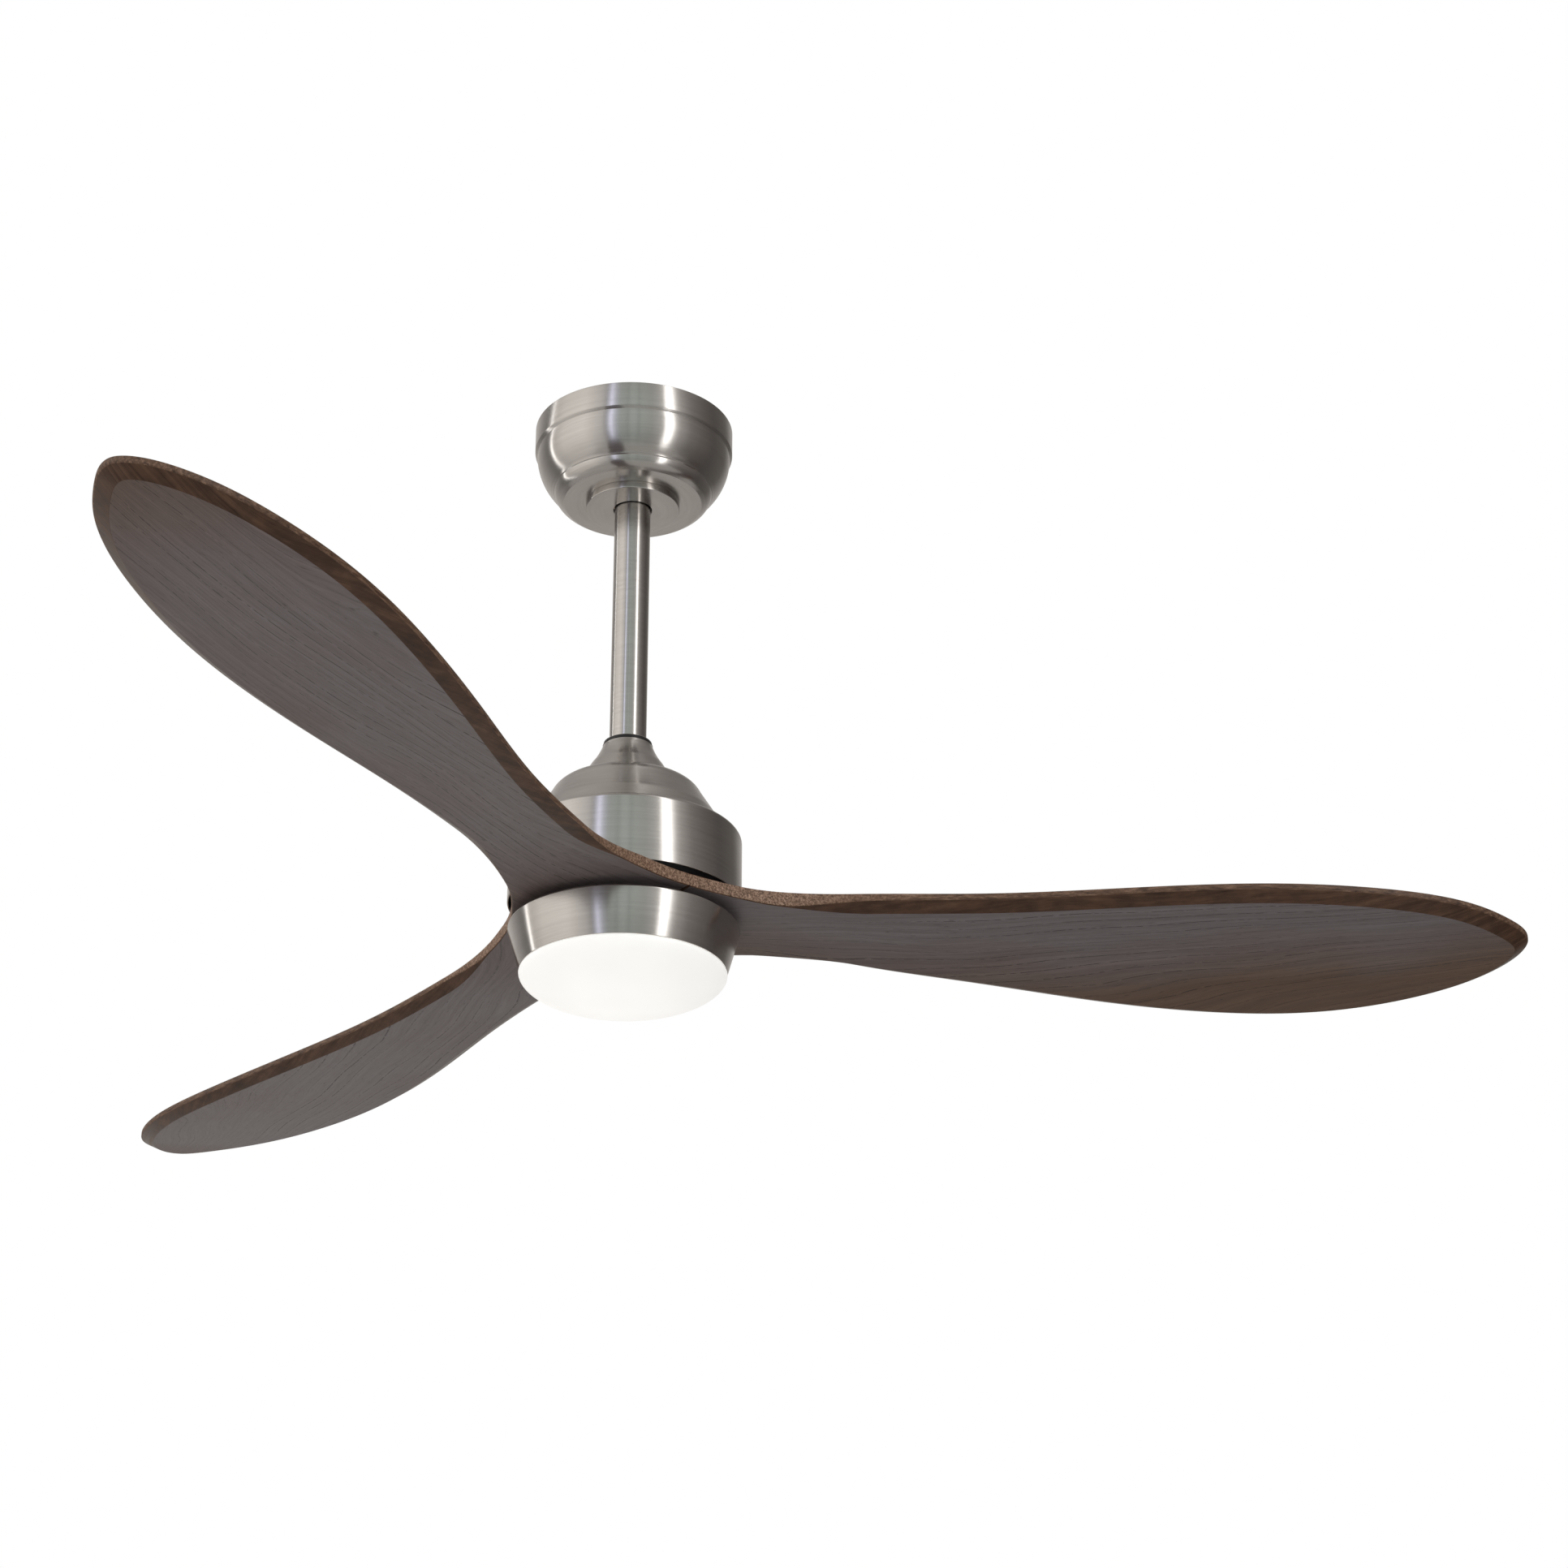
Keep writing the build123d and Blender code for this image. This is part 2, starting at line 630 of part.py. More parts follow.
def pitch(x, start):
    """Slope across a blade, which builds up from its root."""
    run = max(0.0, x - start)
    return TWIST * (1 - math.exp(-((run / TWIST_RUN) ** 1.5)))


def blade_slab(lower_face):
    """A wide twisted slab above the upper or under the lower face of a blade."""
    close_stations = [0, ROOT_BEND, 85, 92, 100, 112, 128, 150, 180, 220, 270]
    far_stations = [330, 390, 450, 510, 560, 610, SPAN_R + 5]
    half = 120
    with BuildPart() as made:
        for x in close_stations + far_stations:
            height = top_height(x) - (BLADE_T if lower_face else 0)
            slope = pitch(x, ROOT_BEND + (EDGE_LAG if lower_face else 0))
            far = -60 if lower_face else 60
            with BuildSketch(Plane.YZ.offset(x)):
                Polygon(
                    (-half, height + half * slope),
                    (half, height - half * slope),
                    (half, ROOT_TOP + far),
                    (-half, ROOT_TOP + far),
                    align=None,
                )
        loft(ruled=True)
    return made


above_blade = blade_slab(False)
below_blade = blade_slab(True)
JOINT_X = ROOT_R * math.cos(math.pi / BLADES)
JOINT_Y = ROOT_R * math.sin(math.pi / BLADES)
ROOT_BOTTOM = ROOT_TOP - BLADE_T
JOINT_GAP = 0.1           # half of the joint line between neighbouring blades

LEAD_TANGENTS = [(0.866, 0.5), (1, -0.09)]      # the root's edges leave the joint square to it
TRAIL_TANGENTS = [(-1, -0.11), (-0.866, 0.5)]

with BuildPart() as blade_blank:
    with BuildSketch(Plane.XY.offset(ROOT_TOP - 50)) as planform:
        with BuildLine():
            lead_root = Spline(
                (JOINT_X, -JOINT_Y + JOINT_GAP),
                (104, -41),
                (160, -43.5),
                tangents=LEAD_TANGENTS,
            )
            leading = Spline(
                lead_root @ 1,
                (250, -53.5),
                (350, -68),
                (450, -77.5),
                (530, -71.5),
                (600, -52.5),
                (640, -27.5),
                (SPAN_R, 3),
                tangents=[LEAD_TANGENTS[1], (0, 1)],
            )
            trailing = Spline(
                leading @ 1,
                (640, 41),
                (600, 65),
                (530, 84.5),
                (450, 87),
                (350, 75.5),
                (250, 60.5),
                (160, 50),
                tangents=[(0, 1), TRAIL_TANGENTS[0]],
            )
            trail_root = Spline(
                trailing @ 1,
                (104, 46.5),
                (JOINT_X, JOINT_Y - JOINT_GAP),
                tangents=TRAIL_TANGENTS,
            )
            Polyline(trail_root @ 1, (0, 0), lead_root @ 0)
        make_face()
        Circle(ROOT_INNER_R, mode=Mode.SUBTRACT)
    extrude(amount=100)
    add(above_blade.part, mode=Mode.SUBTRACT)
    add(below_blade.part, mode=Mode.SUBTRACT)
    with BuildSketch(Plane.XY.offset(ROOT_TOP - 50)):
        with PolarLocations(
            BLADE_SCREW_R,
            3,
            start_angle=-BLADE_SCREW_SPREAD,
            angular_range=2 * BLADE_SCREW_SPREAD,
            endpoint=True,
        ):
            Circle(2.7)
    extrude(amount=60, mode=Mode.SUBTRACT)
for turn in range(BLADES):
    blade = blade_blank.part.rotate(Axis.Z, 360 / BLADES * turn)
    save(blade, f"blade_{turn + 1}")


def blade_screw_places():
    """Every blade screw's place around the axis."""
    for turn in range(BLADES):
        for offset in (-BLADE_SCREW_SPREAD, 0, BLADE_SCREW_SPREAD):
            angle = math.radians(360 / BLADES * turn + offset)
            yield (BLADE_SCREW_R * math.cos(angle), BLADE_SCREW_R * math.sin(angle))


with BuildPart() as blade_clamp:
    with BuildSketch(Plane.XY.offset(ROOT_BOTTOM - CLAMP_T)):
        Circle(CLAMP_R)
        Circle(ROOT_INNER_R, mode=Mode.SUBTRACT)
        with Locations(*blade_screw_places()):
            Circle(2.7, mode=Mode.SUBTRACT)
    extrude(amount=CLAMP_T)
save(blade_clamp.part, "blade_clamp")

with BuildPart() as blade_screws:
    with BuildSketch(Plane.XY.offset(ROOT_BOTTOM - CLAMP_T - 2)):
        with Locations(*blade_screw_places()):
            Circle(4.4)
    extrude(amount=2)
    fillet(blade_screws.edges().group_by(Axis.Z)[0], 0.8)
    with BuildSketch(Plane.XY.offset(ROOT_BOTTOM - CLAMP_T)):
        with Locations(*blade_screw_places()):
            Circle(2.5)
    extrude(amount=CLAMP_T + BLADE_T + 9)
save(blade_screws.part, "blade_screws")

# ---------------------------------------------------------------- light kit
with BuildPart() as light_pan:
    with BuildSketch(Plane.XZ):
        with BuildLine():
            roof = Line((SHAFT_R + 0.1, PAN_TOP), (PAN_TOP_R - 1.8, PAN_TOP))
            brow = ThreePointArc(roof @ 1, (PAN_TOP_R - 0.5, PAN_TOP - 0.5), (PAN_TOP_R, PAN_TOP - 1.8))
            side = Line(brow @ 1, (PAN_BOTTOM_R, PAN_BOTTOM))
            edge = Line(side @ 1, (PAN_BOTTOM_R - SHEET, PAN_BOTTOM))
            side_in = Line(edge @ 1, (PAN_TOP_R - SHEET, PAN_TOP - 2.0))
            brow_in = ThreePointArc(
                side_in @ 1,
                (PAN_TOP_R - 1.4, PAN_TOP - 1.4),
                (PAN_TOP_R - 2.0, PAN_TOP - SHEET),
            )
            roof_in = Line(brow_in @ 1, (SHAFT_R + 0.1, PAN_TOP - SHEET))
            Line(roof_in @ 1, roof @ 0)
        make_face()
    revolve(axis=Axis.Z)
save(light_pan.part, "light_pan")

MOUNT_PLATE_TOP = PAN_TOP - SHEET
light_mount_plate = ring(MOUNT_PLATE_TOP - 2, MOUNT_PLATE_TOP, SHAFT_R + 0.1, STANDOFF_PCR + 6)
save(light_mount_plate.part, "light_mount_plate")

with BuildPart() as light_locknut:
    with BuildSketch(Plane.XY.offset(MOUNT_PLATE_TOP - 8)):
        RegularPolygon(12.7, 6)
        Circle(SHAFT_R + 0.05, mode=Mode.SUBTRACT)
    extrude(amount=6)
save(light_locknut.part, "light_locknut")

with BuildPart() as led_standoffs:
    with BuildSketch(Plane.XY.offset(LED_Z)):
        with PolarLocations(STANDOFF_PCR, 3, start_angle=30):
            RegularPolygon(3.6, 6)
            Circle(1.55, mode=Mode.SUBTRACT)
    extrude(amount=MOUNT_PLATE_TOP - 2 - LED_Z)
save(led_standoffs.part, "led_standoffs")

with BuildPart() as led_driver:
    with BuildSketch(Plane.XY.offset(MOUNT_PLATE_TOP - 15.5)):
        with Locations((0, 32)):
            RectangleRounded(44, 26, 3)
    extrude(amount=13.5)
    fillet(led_driver.edges().group_by(Axis.Z)[0], 1.5)
save(led_driver.part, "led_driver")

with BuildPart() as led_board:
    with BuildSketch(Plane.XY.offset(LED_Z - 1.6)):
        Circle(LED_R)
        with PolarLocations(STANDOFF_PCR, 3, start_angle=30):
            Circle(1.7, mode=Mode.SUBTRACT)
        Circle(5, mode=Mode.SUBTRACT)
    extrude(amount=1.6)
save(led_board.part, "led_board")

with BuildPart() as led_chips:
    for radius, count in ((54, 18), (38, 12), (20, 6)):
        with BuildSketch(Plane.XY.offset(LED_Z - 2.3)):
            with PolarLocations(radius, count, start_angle=10):
                Rectangle(3, 3)
        extrude(amount=0.7)
save(led_chips.part, "led_chips")

with BuildPart() as led_screws:
    with BuildSketch(Plane.XY.offset(LED_Z - 3.6)):
        with PolarLocations(STANDOFF_PCR, 3, start_angle=30):
            Circle(2.8)
    extrude(amount=2)
    with BuildSketch(Plane.XY.offset(LED_Z - 1.6)):
        with PolarLocations(STANDOFF_PCR, 3, start_angle=30):
            Circle(1.5)
    extrude(amount=8)
save(led_screws.part, "led_screws")


def sector(radius, degrees):
    """A wide triangle from the axis that keeps one arc of a ring, centred on +X."""
    half = math.radians(degrees / 2)
    return [(0, 0), (radius, -radius * math.tan(half)), (radius, radius * math.tan(half))]


with BuildPart() as diffuser_holder:
    with BuildSketch(Plane.XY.offset(PAN_BOTTOM + 1.5)):
        Circle(PAN_BOTTOM_R - SHEET - 0.1)
        Circle(RING_IN_R, mode=Mode.SUBTRACT)
    extrude(amount=12)
    for turn in range(3):
        with BuildSketch(Plane.XY.offset(PAN_BOTTOM + 5)):
            Circle(RING_IN_R + 0.5)
            Circle(NECK_R + 0.8, mode=Mode.SUBTRACT)
            with Locations(Rotation(0, 0, 120 * turn)):
                Polygon(*sector(120, TAB_ARC), align=None, mode=Mode.INTERSECT)
        extrude(amount=2.4)
save(diffuser_holder.part, "diffuser_holder")

RIM_Z = PAN_BOTTOM - 0.4
with BuildPart() as diffuser:
    with BuildSketch(Plane.XZ):
        with BuildLine():
            neck = Line((NECK_R, PAN_BOTTOM + 11), (NECK_R, RIM_Z))
            lip = Line(neck @ 1, (DIFFUSER_R - 0.6, RIM_Z))
            turn_down = ThreePointArc(lip @ 1, (DIFFUSER_R - 0.2, RIM_Z - 0.25), (DIFFUSER_R, RIM_Z - 0.8))
            bowl = Spline(
                turn_down @ 1,
                (DIFFUSER_R * 0.93, RIM_Z - DIFFUSER_DEPTH * 0.44),
                (DIFFUSER_R * 0.70, RIM_Z - DIFFUSER_DEPTH * 0.77),
                (0, RIM_Z - DIFFUSER_DEPTH),
                tangents=[(0, -1), (-1, 0)],
            )
            middle = Line(bowl @ 1, (0, RIM_Z - DIFFUSER_DEPTH + DIFFUSER_WALL))
            bowl_in = Spline(
                middle @ 1,
                (DIFFUSER_R * 0.69, RIM_Z - DIFFUSER_DEPTH * 0.77 + DIFFUSER_WALL),
                (NECK_R - DIFFUSER_WALL, RIM_Z - 3),
                tangents=[(1, 0), (0.25, 1)],
            )
            neck_in = Line(bowl_in @ 1, (NECK_R - DIFFUSER_WALL, PAN_BOTTOM + 11))
            Line(neck_in @ 1, neck @ 0)
        make_face()
    revolve(axis=Axis.Z)
    for turn in range(3):
        with BuildSketch(Plane.XY.offset(PAN_BOTTOM + 7.6)):
            Circle(RING_IN_R - 0.7)
            Circle(NECK_R - 0.5, mode=Mode.SUBTRACT)
            with Locations(Rotation(0, 0, 120 * turn)):
                Polygon(*sector(120, LUG_ARC), align=None, mode=Mode.INTERSECT)
        extrude(amount=2)
save(diffuser.part, "diffuser")
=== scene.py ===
import json
import math

import bmesh
import bpy
import numpy as np
from mathutils import Matrix, Vector


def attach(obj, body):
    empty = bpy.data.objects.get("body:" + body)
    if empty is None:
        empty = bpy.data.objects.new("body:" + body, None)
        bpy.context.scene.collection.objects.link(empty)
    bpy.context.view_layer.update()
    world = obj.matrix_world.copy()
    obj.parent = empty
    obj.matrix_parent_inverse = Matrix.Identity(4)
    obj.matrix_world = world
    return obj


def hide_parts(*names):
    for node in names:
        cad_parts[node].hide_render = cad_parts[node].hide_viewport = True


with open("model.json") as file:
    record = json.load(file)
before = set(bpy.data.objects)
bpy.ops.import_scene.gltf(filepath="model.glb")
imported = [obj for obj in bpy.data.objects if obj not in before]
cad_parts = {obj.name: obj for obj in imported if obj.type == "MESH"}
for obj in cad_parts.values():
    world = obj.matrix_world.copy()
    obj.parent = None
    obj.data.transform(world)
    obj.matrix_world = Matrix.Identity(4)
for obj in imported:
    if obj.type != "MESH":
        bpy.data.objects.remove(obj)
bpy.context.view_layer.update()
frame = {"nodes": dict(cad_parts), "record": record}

# Ceiling fan with light. Everything is in metres, in the CAD frame: the origin is on the ceiling
# plane at the fan's axis, +Z up, blade 1 along +X. Outlines are written in millimetres.
MM = 0.001
SEGMENTS = 192            # columns of a turned piece
TINY = 1e-6               # in an outline, a length below this counts as none
SAME_POINT = 1e-7         # vertices nearer to each other than this are one
TURNED_CREASE = 32        # degrees: edges that turn by more stay sharp
WOOD_CREASE = 40

# ------------------------------------------------------------------ mesh helpers


def add_object(name, mesh):
    made = bpy.data.objects.new(name, mesh)
    bpy.context.scene.collection.objects.link(made)
    return made


def smooth(mesh, angle):
    for face in mesh.polygons:
        face.use_smooth = True
    mesh.set_sharp_from_angle(angle=math.radians(angle))


def smoothstep(low, high, value):
    t = min(1.0, max(0.0, (value - low) / (high - low)))
    return t * t * (3 - 2 * t)


def arc(start, middle, end, steps=12):
    """Points on the circle through three (r, z) points, from start to end. They are left unrounded."""
    a, b, c = Vector(start), Vector(middle), Vector(end)
    scale = 2 * (a.x * (b.y - c.y) + b.x * (c.y - a.y) + c.x * (a.y - b.y))
    aa, bb, cc = a.length_squared, b.length_squared, c.length_squared
    centre = Vector((
        (aa * (b.y - c.y) + bb * (c.y - a.y) + cc * (a.y - b.y)) / scale,
        (aa * (c.x - b.x) + bb * (a.x - c.x) + cc * (b.x - a.x)) / scale,
    ))
    radius = (a - centre).length
    first, mid, last = (math.atan2(p.y - centre.y, p.x - centre.x) for p in (a, b, c))
    turn = (last - first) % (2 * math.pi)
    if (mid - first) % (2 * math.pi) > turn:
        turn -= 2 * math.pi
    angles = [first + turn * k / steps for k in range(steps + 1)]
    return [(centre.x + radius * math.cos(t), centre.y + radius * math.sin(t), 0) for t in angles]


def rounded(profile, radius, steps=4):
    """Rounds the corners of a closed (r, z) outline. A point may carry its own radius as a third number.
    A rounding takes up less than half of the shorter side next to it."""
    out = []
    count = len(profile)
    share = 0.45
    for i, point in enumerate(profile):
        here = Vector(point[:2])
        to_before = Vector(profile[i - 1][:2]) - here
        to_after = Vector(profile[(i + 1) % count][:2]) - here
        r = point[2] if len(point) > 2 else radius
        if r <= 0 or min(here.x, to_before.length, to_after.length) < TINY:
            out.append(here)
            continue
        turn = to_before.angle(to_after)
        cut = min(r / math.tan(turn / 2), min(to_before.length, to_after.length) * share)
        start = here + to_before.normalized() * cut
        end = here + to_after.normalized() * cut
        for k in range(steps + 1):
            t = k / steps
            out.append((1 - t) ** 2 * start + 2 * t * (1 - t) * here + t * t * end)
    return out


def lathe(name, profile, radius=0.3, bands=()):
    """Turns a closed (r, z) outline in millimetres about the fan's axis. bands gives the material index
    of the faces whose middle lies between two heights, as (low, high, index)."""
    mesh = bpy.data.meshes.new(name)
    work = bmesh.new()
    around = [2 * math.pi * k / SEGMENTS for k in range(SEGMENTS)]
    columns = []
    for point in rounded(profile, radius):
        if point.x < TINY:
            columns.append([work.verts.new((0, 0, point.y * MM))] * SEGMENTS)
            continue
        columns.append([
            work.verts.new((point.x * math.cos(a) * MM, point.x * math.sin(a) * MM, point.y * MM))
            for a in around
        ])
    for i, column in enumerate(columns):
        after = columns[(i + 1) % len(columns)]
        for k in range(SEGMENTS):
            n = (k + 1) % SEGMENTS
            corners = list(dict.fromkeys((column[k], column[n], after[n], after[k])))
            if len(corners) < 3:
                continue
            face = work.faces.new(corners)
            height = face.calc_center_median().z / MM
            for low, high, index in bands:
                if low < height < high:
                    face.material_index = index
    bmesh.ops.remove_doubles(work, verts=work.verts, dist=SAME_POINT)
    bmesh.ops.recalc_face_normals(work, faces=work.faces)
    work.to_mesh(mesh)
    work.free()
    smooth(mesh, TURNED_CREASE)
    return add_object(name, mesh)


# ------------------------------------------------------------------ material helpers


class Nodes:
    """The node tree of a material or a world, with short ways to add and join nodes. turn is the angle
    by which the piece is turned about the fan's axis."""

    def __init__(self, owner, turn=0.0):
        self.owner = owner
        self.turn = turn
        owner.use_nodes = True
        self.tree = owner.node_tree
        self.shader = self.tree.nodes.get("Principled BSDF")

    def add(self, kind, inputs=None, **settings):
        node = self.tree.nodes.new(kind)
        for key, value in settings.items():
            setattr(node, key, value)
        for key, value in (inputs or {}).items():
            self.put(node.inputs[key], value)
        return node

    def put(self, socket, value):
        if isinstance(value, bpy.types.NodeSocket):
            self.tree.links.new(value, socket)
        else:
            socket.default_value = value

    def math(self, operation, a, b=0.0):
        return self.add("ShaderNodeMath", {0: a, 1: b}, operation=operation).outputs[0]

    def length(self, a, b):
        squares = self.math("ADD", self.math("MULTIPLY", a, a), self.math("MULTIPLY", b, b))
        return self.math("SQRT", squares)

    def ramp(self, value, stops):
        node = self.add("ShaderNodeValToRGB", {"Fac": value})
        elements = node.color_ramp.elements
        while len(elements) < len(stops):
            elements.new(1.0)
        for element, (place, colour) in zip(elements, stops):
            element.position = place
            element.color = (*colour, 1)
        return node.outputs["Color"]

    def remap(self, value, low, high, to_low, to_high):
        sockets = {0: value, 1: low, 2: high, 3: to_low, 4: to_high}
        return self.add("ShaderNodeMapRange", sockets).outputs[0]

    def mix(self, factor, a, b, blend_type="MIX"):
        node = self.add("ShaderNodeMix", data_type="RGBA", blend_type=blend_type)
        self.put(node.inputs[0], factor)
        for index, value in ((6, a), (7, b)):
            self.put(node.inputs[index], (*value, 1) if isinstance(value, tuple) else value)
        return node.outputs[2]

    def noise(self, vector, scale, detail=3.0, roughness=0.5):
        sockets = {"Vector": vector, "Scale": scale, "Detail": detail, "Roughness": roughness}
        return self.add("ShaderNodeTexNoise", sockets).outputs["Fac"]

    def bump(self, height, strength, distance):
        sockets = {"Height": height, "Strength": strength, "Distance": distance}
        return self.add("ShaderNodeBump", sockets).outputs["Normal"]

    def join(self, **sockets):
        for key, value in sockets.items():
            self.put(self.shader.inputs[key.replace("_", " ")], value)

    def place(self):
        """Coordinates in the piece's own frame: turned back about the axis for a piece that is turned."""
        here = self.add("ShaderNodeTexCoord").outputs["Object"]
        if not self.turn:
            return here
        sockets = {"Vector": here, "Angle": -self.turn}
        return self.add("ShaderNodeVectorRotate", sockets, rotation_type="Z_AXIS").outputs[0]

    def split(self, vector):
        return self.add("ShaderNodeSeparateXYZ", {"Vector": vector}).outputs

    def merge(self, x, y, z):
        return self.add("ShaderNodeCombineXYZ", {"X": x, "Y": y, "Z": z}).outputs[0]

    def scaled(self, vector, x, y, z=1.0):
        sockets = {0: vector, 1: (x, y, z)}
        return self.add("ShaderNodeVectorMath", sockets, operation="MULTIPLY").outputs[0]


def brushed_nickel():
    """Warm grey nickel, brushed round the axis, with faint cloudy wear."""
    base, gloss = 0.60, 0.19
    lines_per_metre = 900.0
    nodes = Nodes(bpy.data.materials.new("brushed_nickel_look"))
    x, y, z = nodes.split(nodes.place())
    radius = nodes.length(x, y)
    safe_radius = nodes.math("MAXIMUM", radius, 0.002)
    along = nodes.math("ADD", radius, nodes.math("MULTIPLY", z, 1.37))
    across = nodes.math("MULTIPLY", along, lines_per_metre)
    lines = nodes.merge(nodes.math("DIVIDE", x, safe_radius), nodes.math("DIVIDE", y, safe_radius), across)
    fine = nodes.noise(lines, 2.2, 4.0, 0.7)
    coarse = nodes.noise(lines, 0.35, 2.0, 0.5)
    cloud = nodes.noise(nodes.place(), 26.0)
    streak = nodes.math("ADD", nodes.math("MULTIPLY", fine, 0.65), nodes.math("MULTIPLY", coarse, 0.35))
    tone = nodes.ramp(streak, [
        (0.25, (base * 0.86, base * 0.82, base * 0.785)),
        (0.75, (base * 1.10, base * 1.06, base * 1.02)),
    ])
    dull = (base * 0.84, base * 0.78, base * 0.72)
    worn = nodes.mix(nodes.remap(cloud, 0.35, 0.7, 0.0, 0.14), tone, dull)
    nodes.join(
        Base_Color=worn,
        Metallic=1.0,
        Roughness=nodes.remap(fine, 0.3, 0.7, gloss - 0.03, gloss + 0.04),
        Normal=nodes.bump(streak, 0.08, 0.0002),
        Anisotropic=0.85,
        Anisotropic_Rotation=0.25,
        Tangent=nodes.add("ShaderNodeTangent", direction_type="RADIAL", axis="Z").outputs[0],
    )
    return nodes.owner


def moulded(name, colour, rough, grain=900.0, strength=0.06, metallic=0.0, spread=0.12):
    """A cast, moulded or plated surface with fine grain and slight mottling."""
    nodes = Nodes(bpy.data.materials.new(name))
    fine = nodes.noise(nodes.place(), grain, 2.0, 0.6)
    mottle = nodes.noise(nodes.place(), grain * 0.06)
    dark = tuple(c * (1 - spread) for c in colour)
    light = tuple(min(1.0, c * (1 + spread)) for c in colour)
    nodes.join(
        Base_Color=nodes.ramp(mottle, [(0.3, dark), (0.7, light)]),
        Metallic=metallic,
        Roughness=nodes.remap(fine, 0.3, 0.7, rough - 0.05, rough + 0.07),
        Normal=nodes.bump(fine, strength, 0.0003),
    )
    return nodes.owner


def layered(name, colour, gap, spacing, metallic, rough):
    """Thin layers stacked up the axis, such as laminations or the turns of a winding."""
    nodes = Nodes(bpy.data.materials.new(name))
    height = nodes.split(nodes.place())[2]
    wave = nodes.math("FRACT", nodes.math("DIVIDE", height, spacing))
    ridge = nodes.math("ABSOLUTE", nodes.math("SUBTRACT", wave, 0.5))
    stain = nodes.noise(nodes.place(), 90.0, 3.0, 0.6)
    body = nodes.mix(nodes.remap(stain, 0.3, 0.7, 0.0, 0.35), colour, tuple(c * 0.6 for c in colour))
    nodes.join(
        Base_Color=nodes.mix(nodes.remap(ridge, 0.36, 0.5, 0.0, 1.0), body, gap),
        Metallic=metallic,
        Roughness=nodes.remap(stain, 0.3, 0.7, rough - 0.06, rough + 0.08),
        Normal=nodes.bump(ridge, 0.35, 0.0004),
    )
    return nodes.owner


def growth_rings(nodes, offset):
    """The board's growth rings: gently curved lines along local X, from a pith beyond the blade's side.
    Returned as the distance from the pith, and that with local X as lengthwise coordinates."""
    x, y, z = nodes.split(nodes.place())
    long_wave = nodes.merge(nodes.math("MULTIPLY", x, 2.6), nodes.math("MULTIPLY", y, 7.0), offset)
    short_wave = nodes.merge(nodes.math("MULTIPLY", x, 16.0), nodes.math("MULTIPLY", y, 60.0), offset)
    slow = nodes.noise(long_wave, 1.0, 2.0)
    quick = nodes.noise(short_wave, 1.0, 2.0)
    across = nodes.math("SUBTRACT", y, 0.13 + 0.02 * math.sin(offset))
    depth = nodes.math("ADD", nodes.math("MULTIPLY", x, 0.16), 0.010)
    depth = nodes.math("ADD", depth, nodes.math("MULTIPLY", z, 0.5))
    rings = nodes.length(across, depth)
    rings = nodes.math("ADD", rings, nodes.math("MULTIPLY", slow, 0.050))
    rings = nodes.math("ADD", rings, nodes.math("MULTIPLY", quick, 0.0016))
    return rings, nodes.merge(x, rings, offset)


def stained_pores(nodes, rings, along):
    """Open pores: broken rows of short dashes at each growth ring, and a few strays. Also gives the phase
    between one ring and the next."""
    ring_gap = 0.0068
    broad = nodes.noise(nodes.scaled(along, 3.0, 60.0), 1.0, 2.0, 0.5)
    dash = nodes.noise(nodes.scaled(along, 240.0, 1100.0), 1.0, 1.0, 0.4)
    stray = nodes.noise(nodes.scaled(along, 120.0, 900.0), 1.0, 1.0, 0.4)
    phase = nodes.math("FRACT", nodes.math("DIVIDE", rings, ring_gap))
    middle = nodes.math("ABSOLUTE", nodes.math("SUBTRACT", phase, 0.5))
    early = nodes.remap(middle, 0.012, 0.055, 1.0, 0.0)
    row = nodes.math("MULTIPLY", early, nodes.remap(broad, 0.38, 0.60, 0.15, 1.0))
    pore = nodes.math("MULTIPLY", row, nodes.remap(dash, 0.36, 0.50, 0.0, 1.0))
    return nodes.math("MAXIMUM", pore, nodes.remap(stray, 0.68, 0.78, 0.0, 0.45)), phase


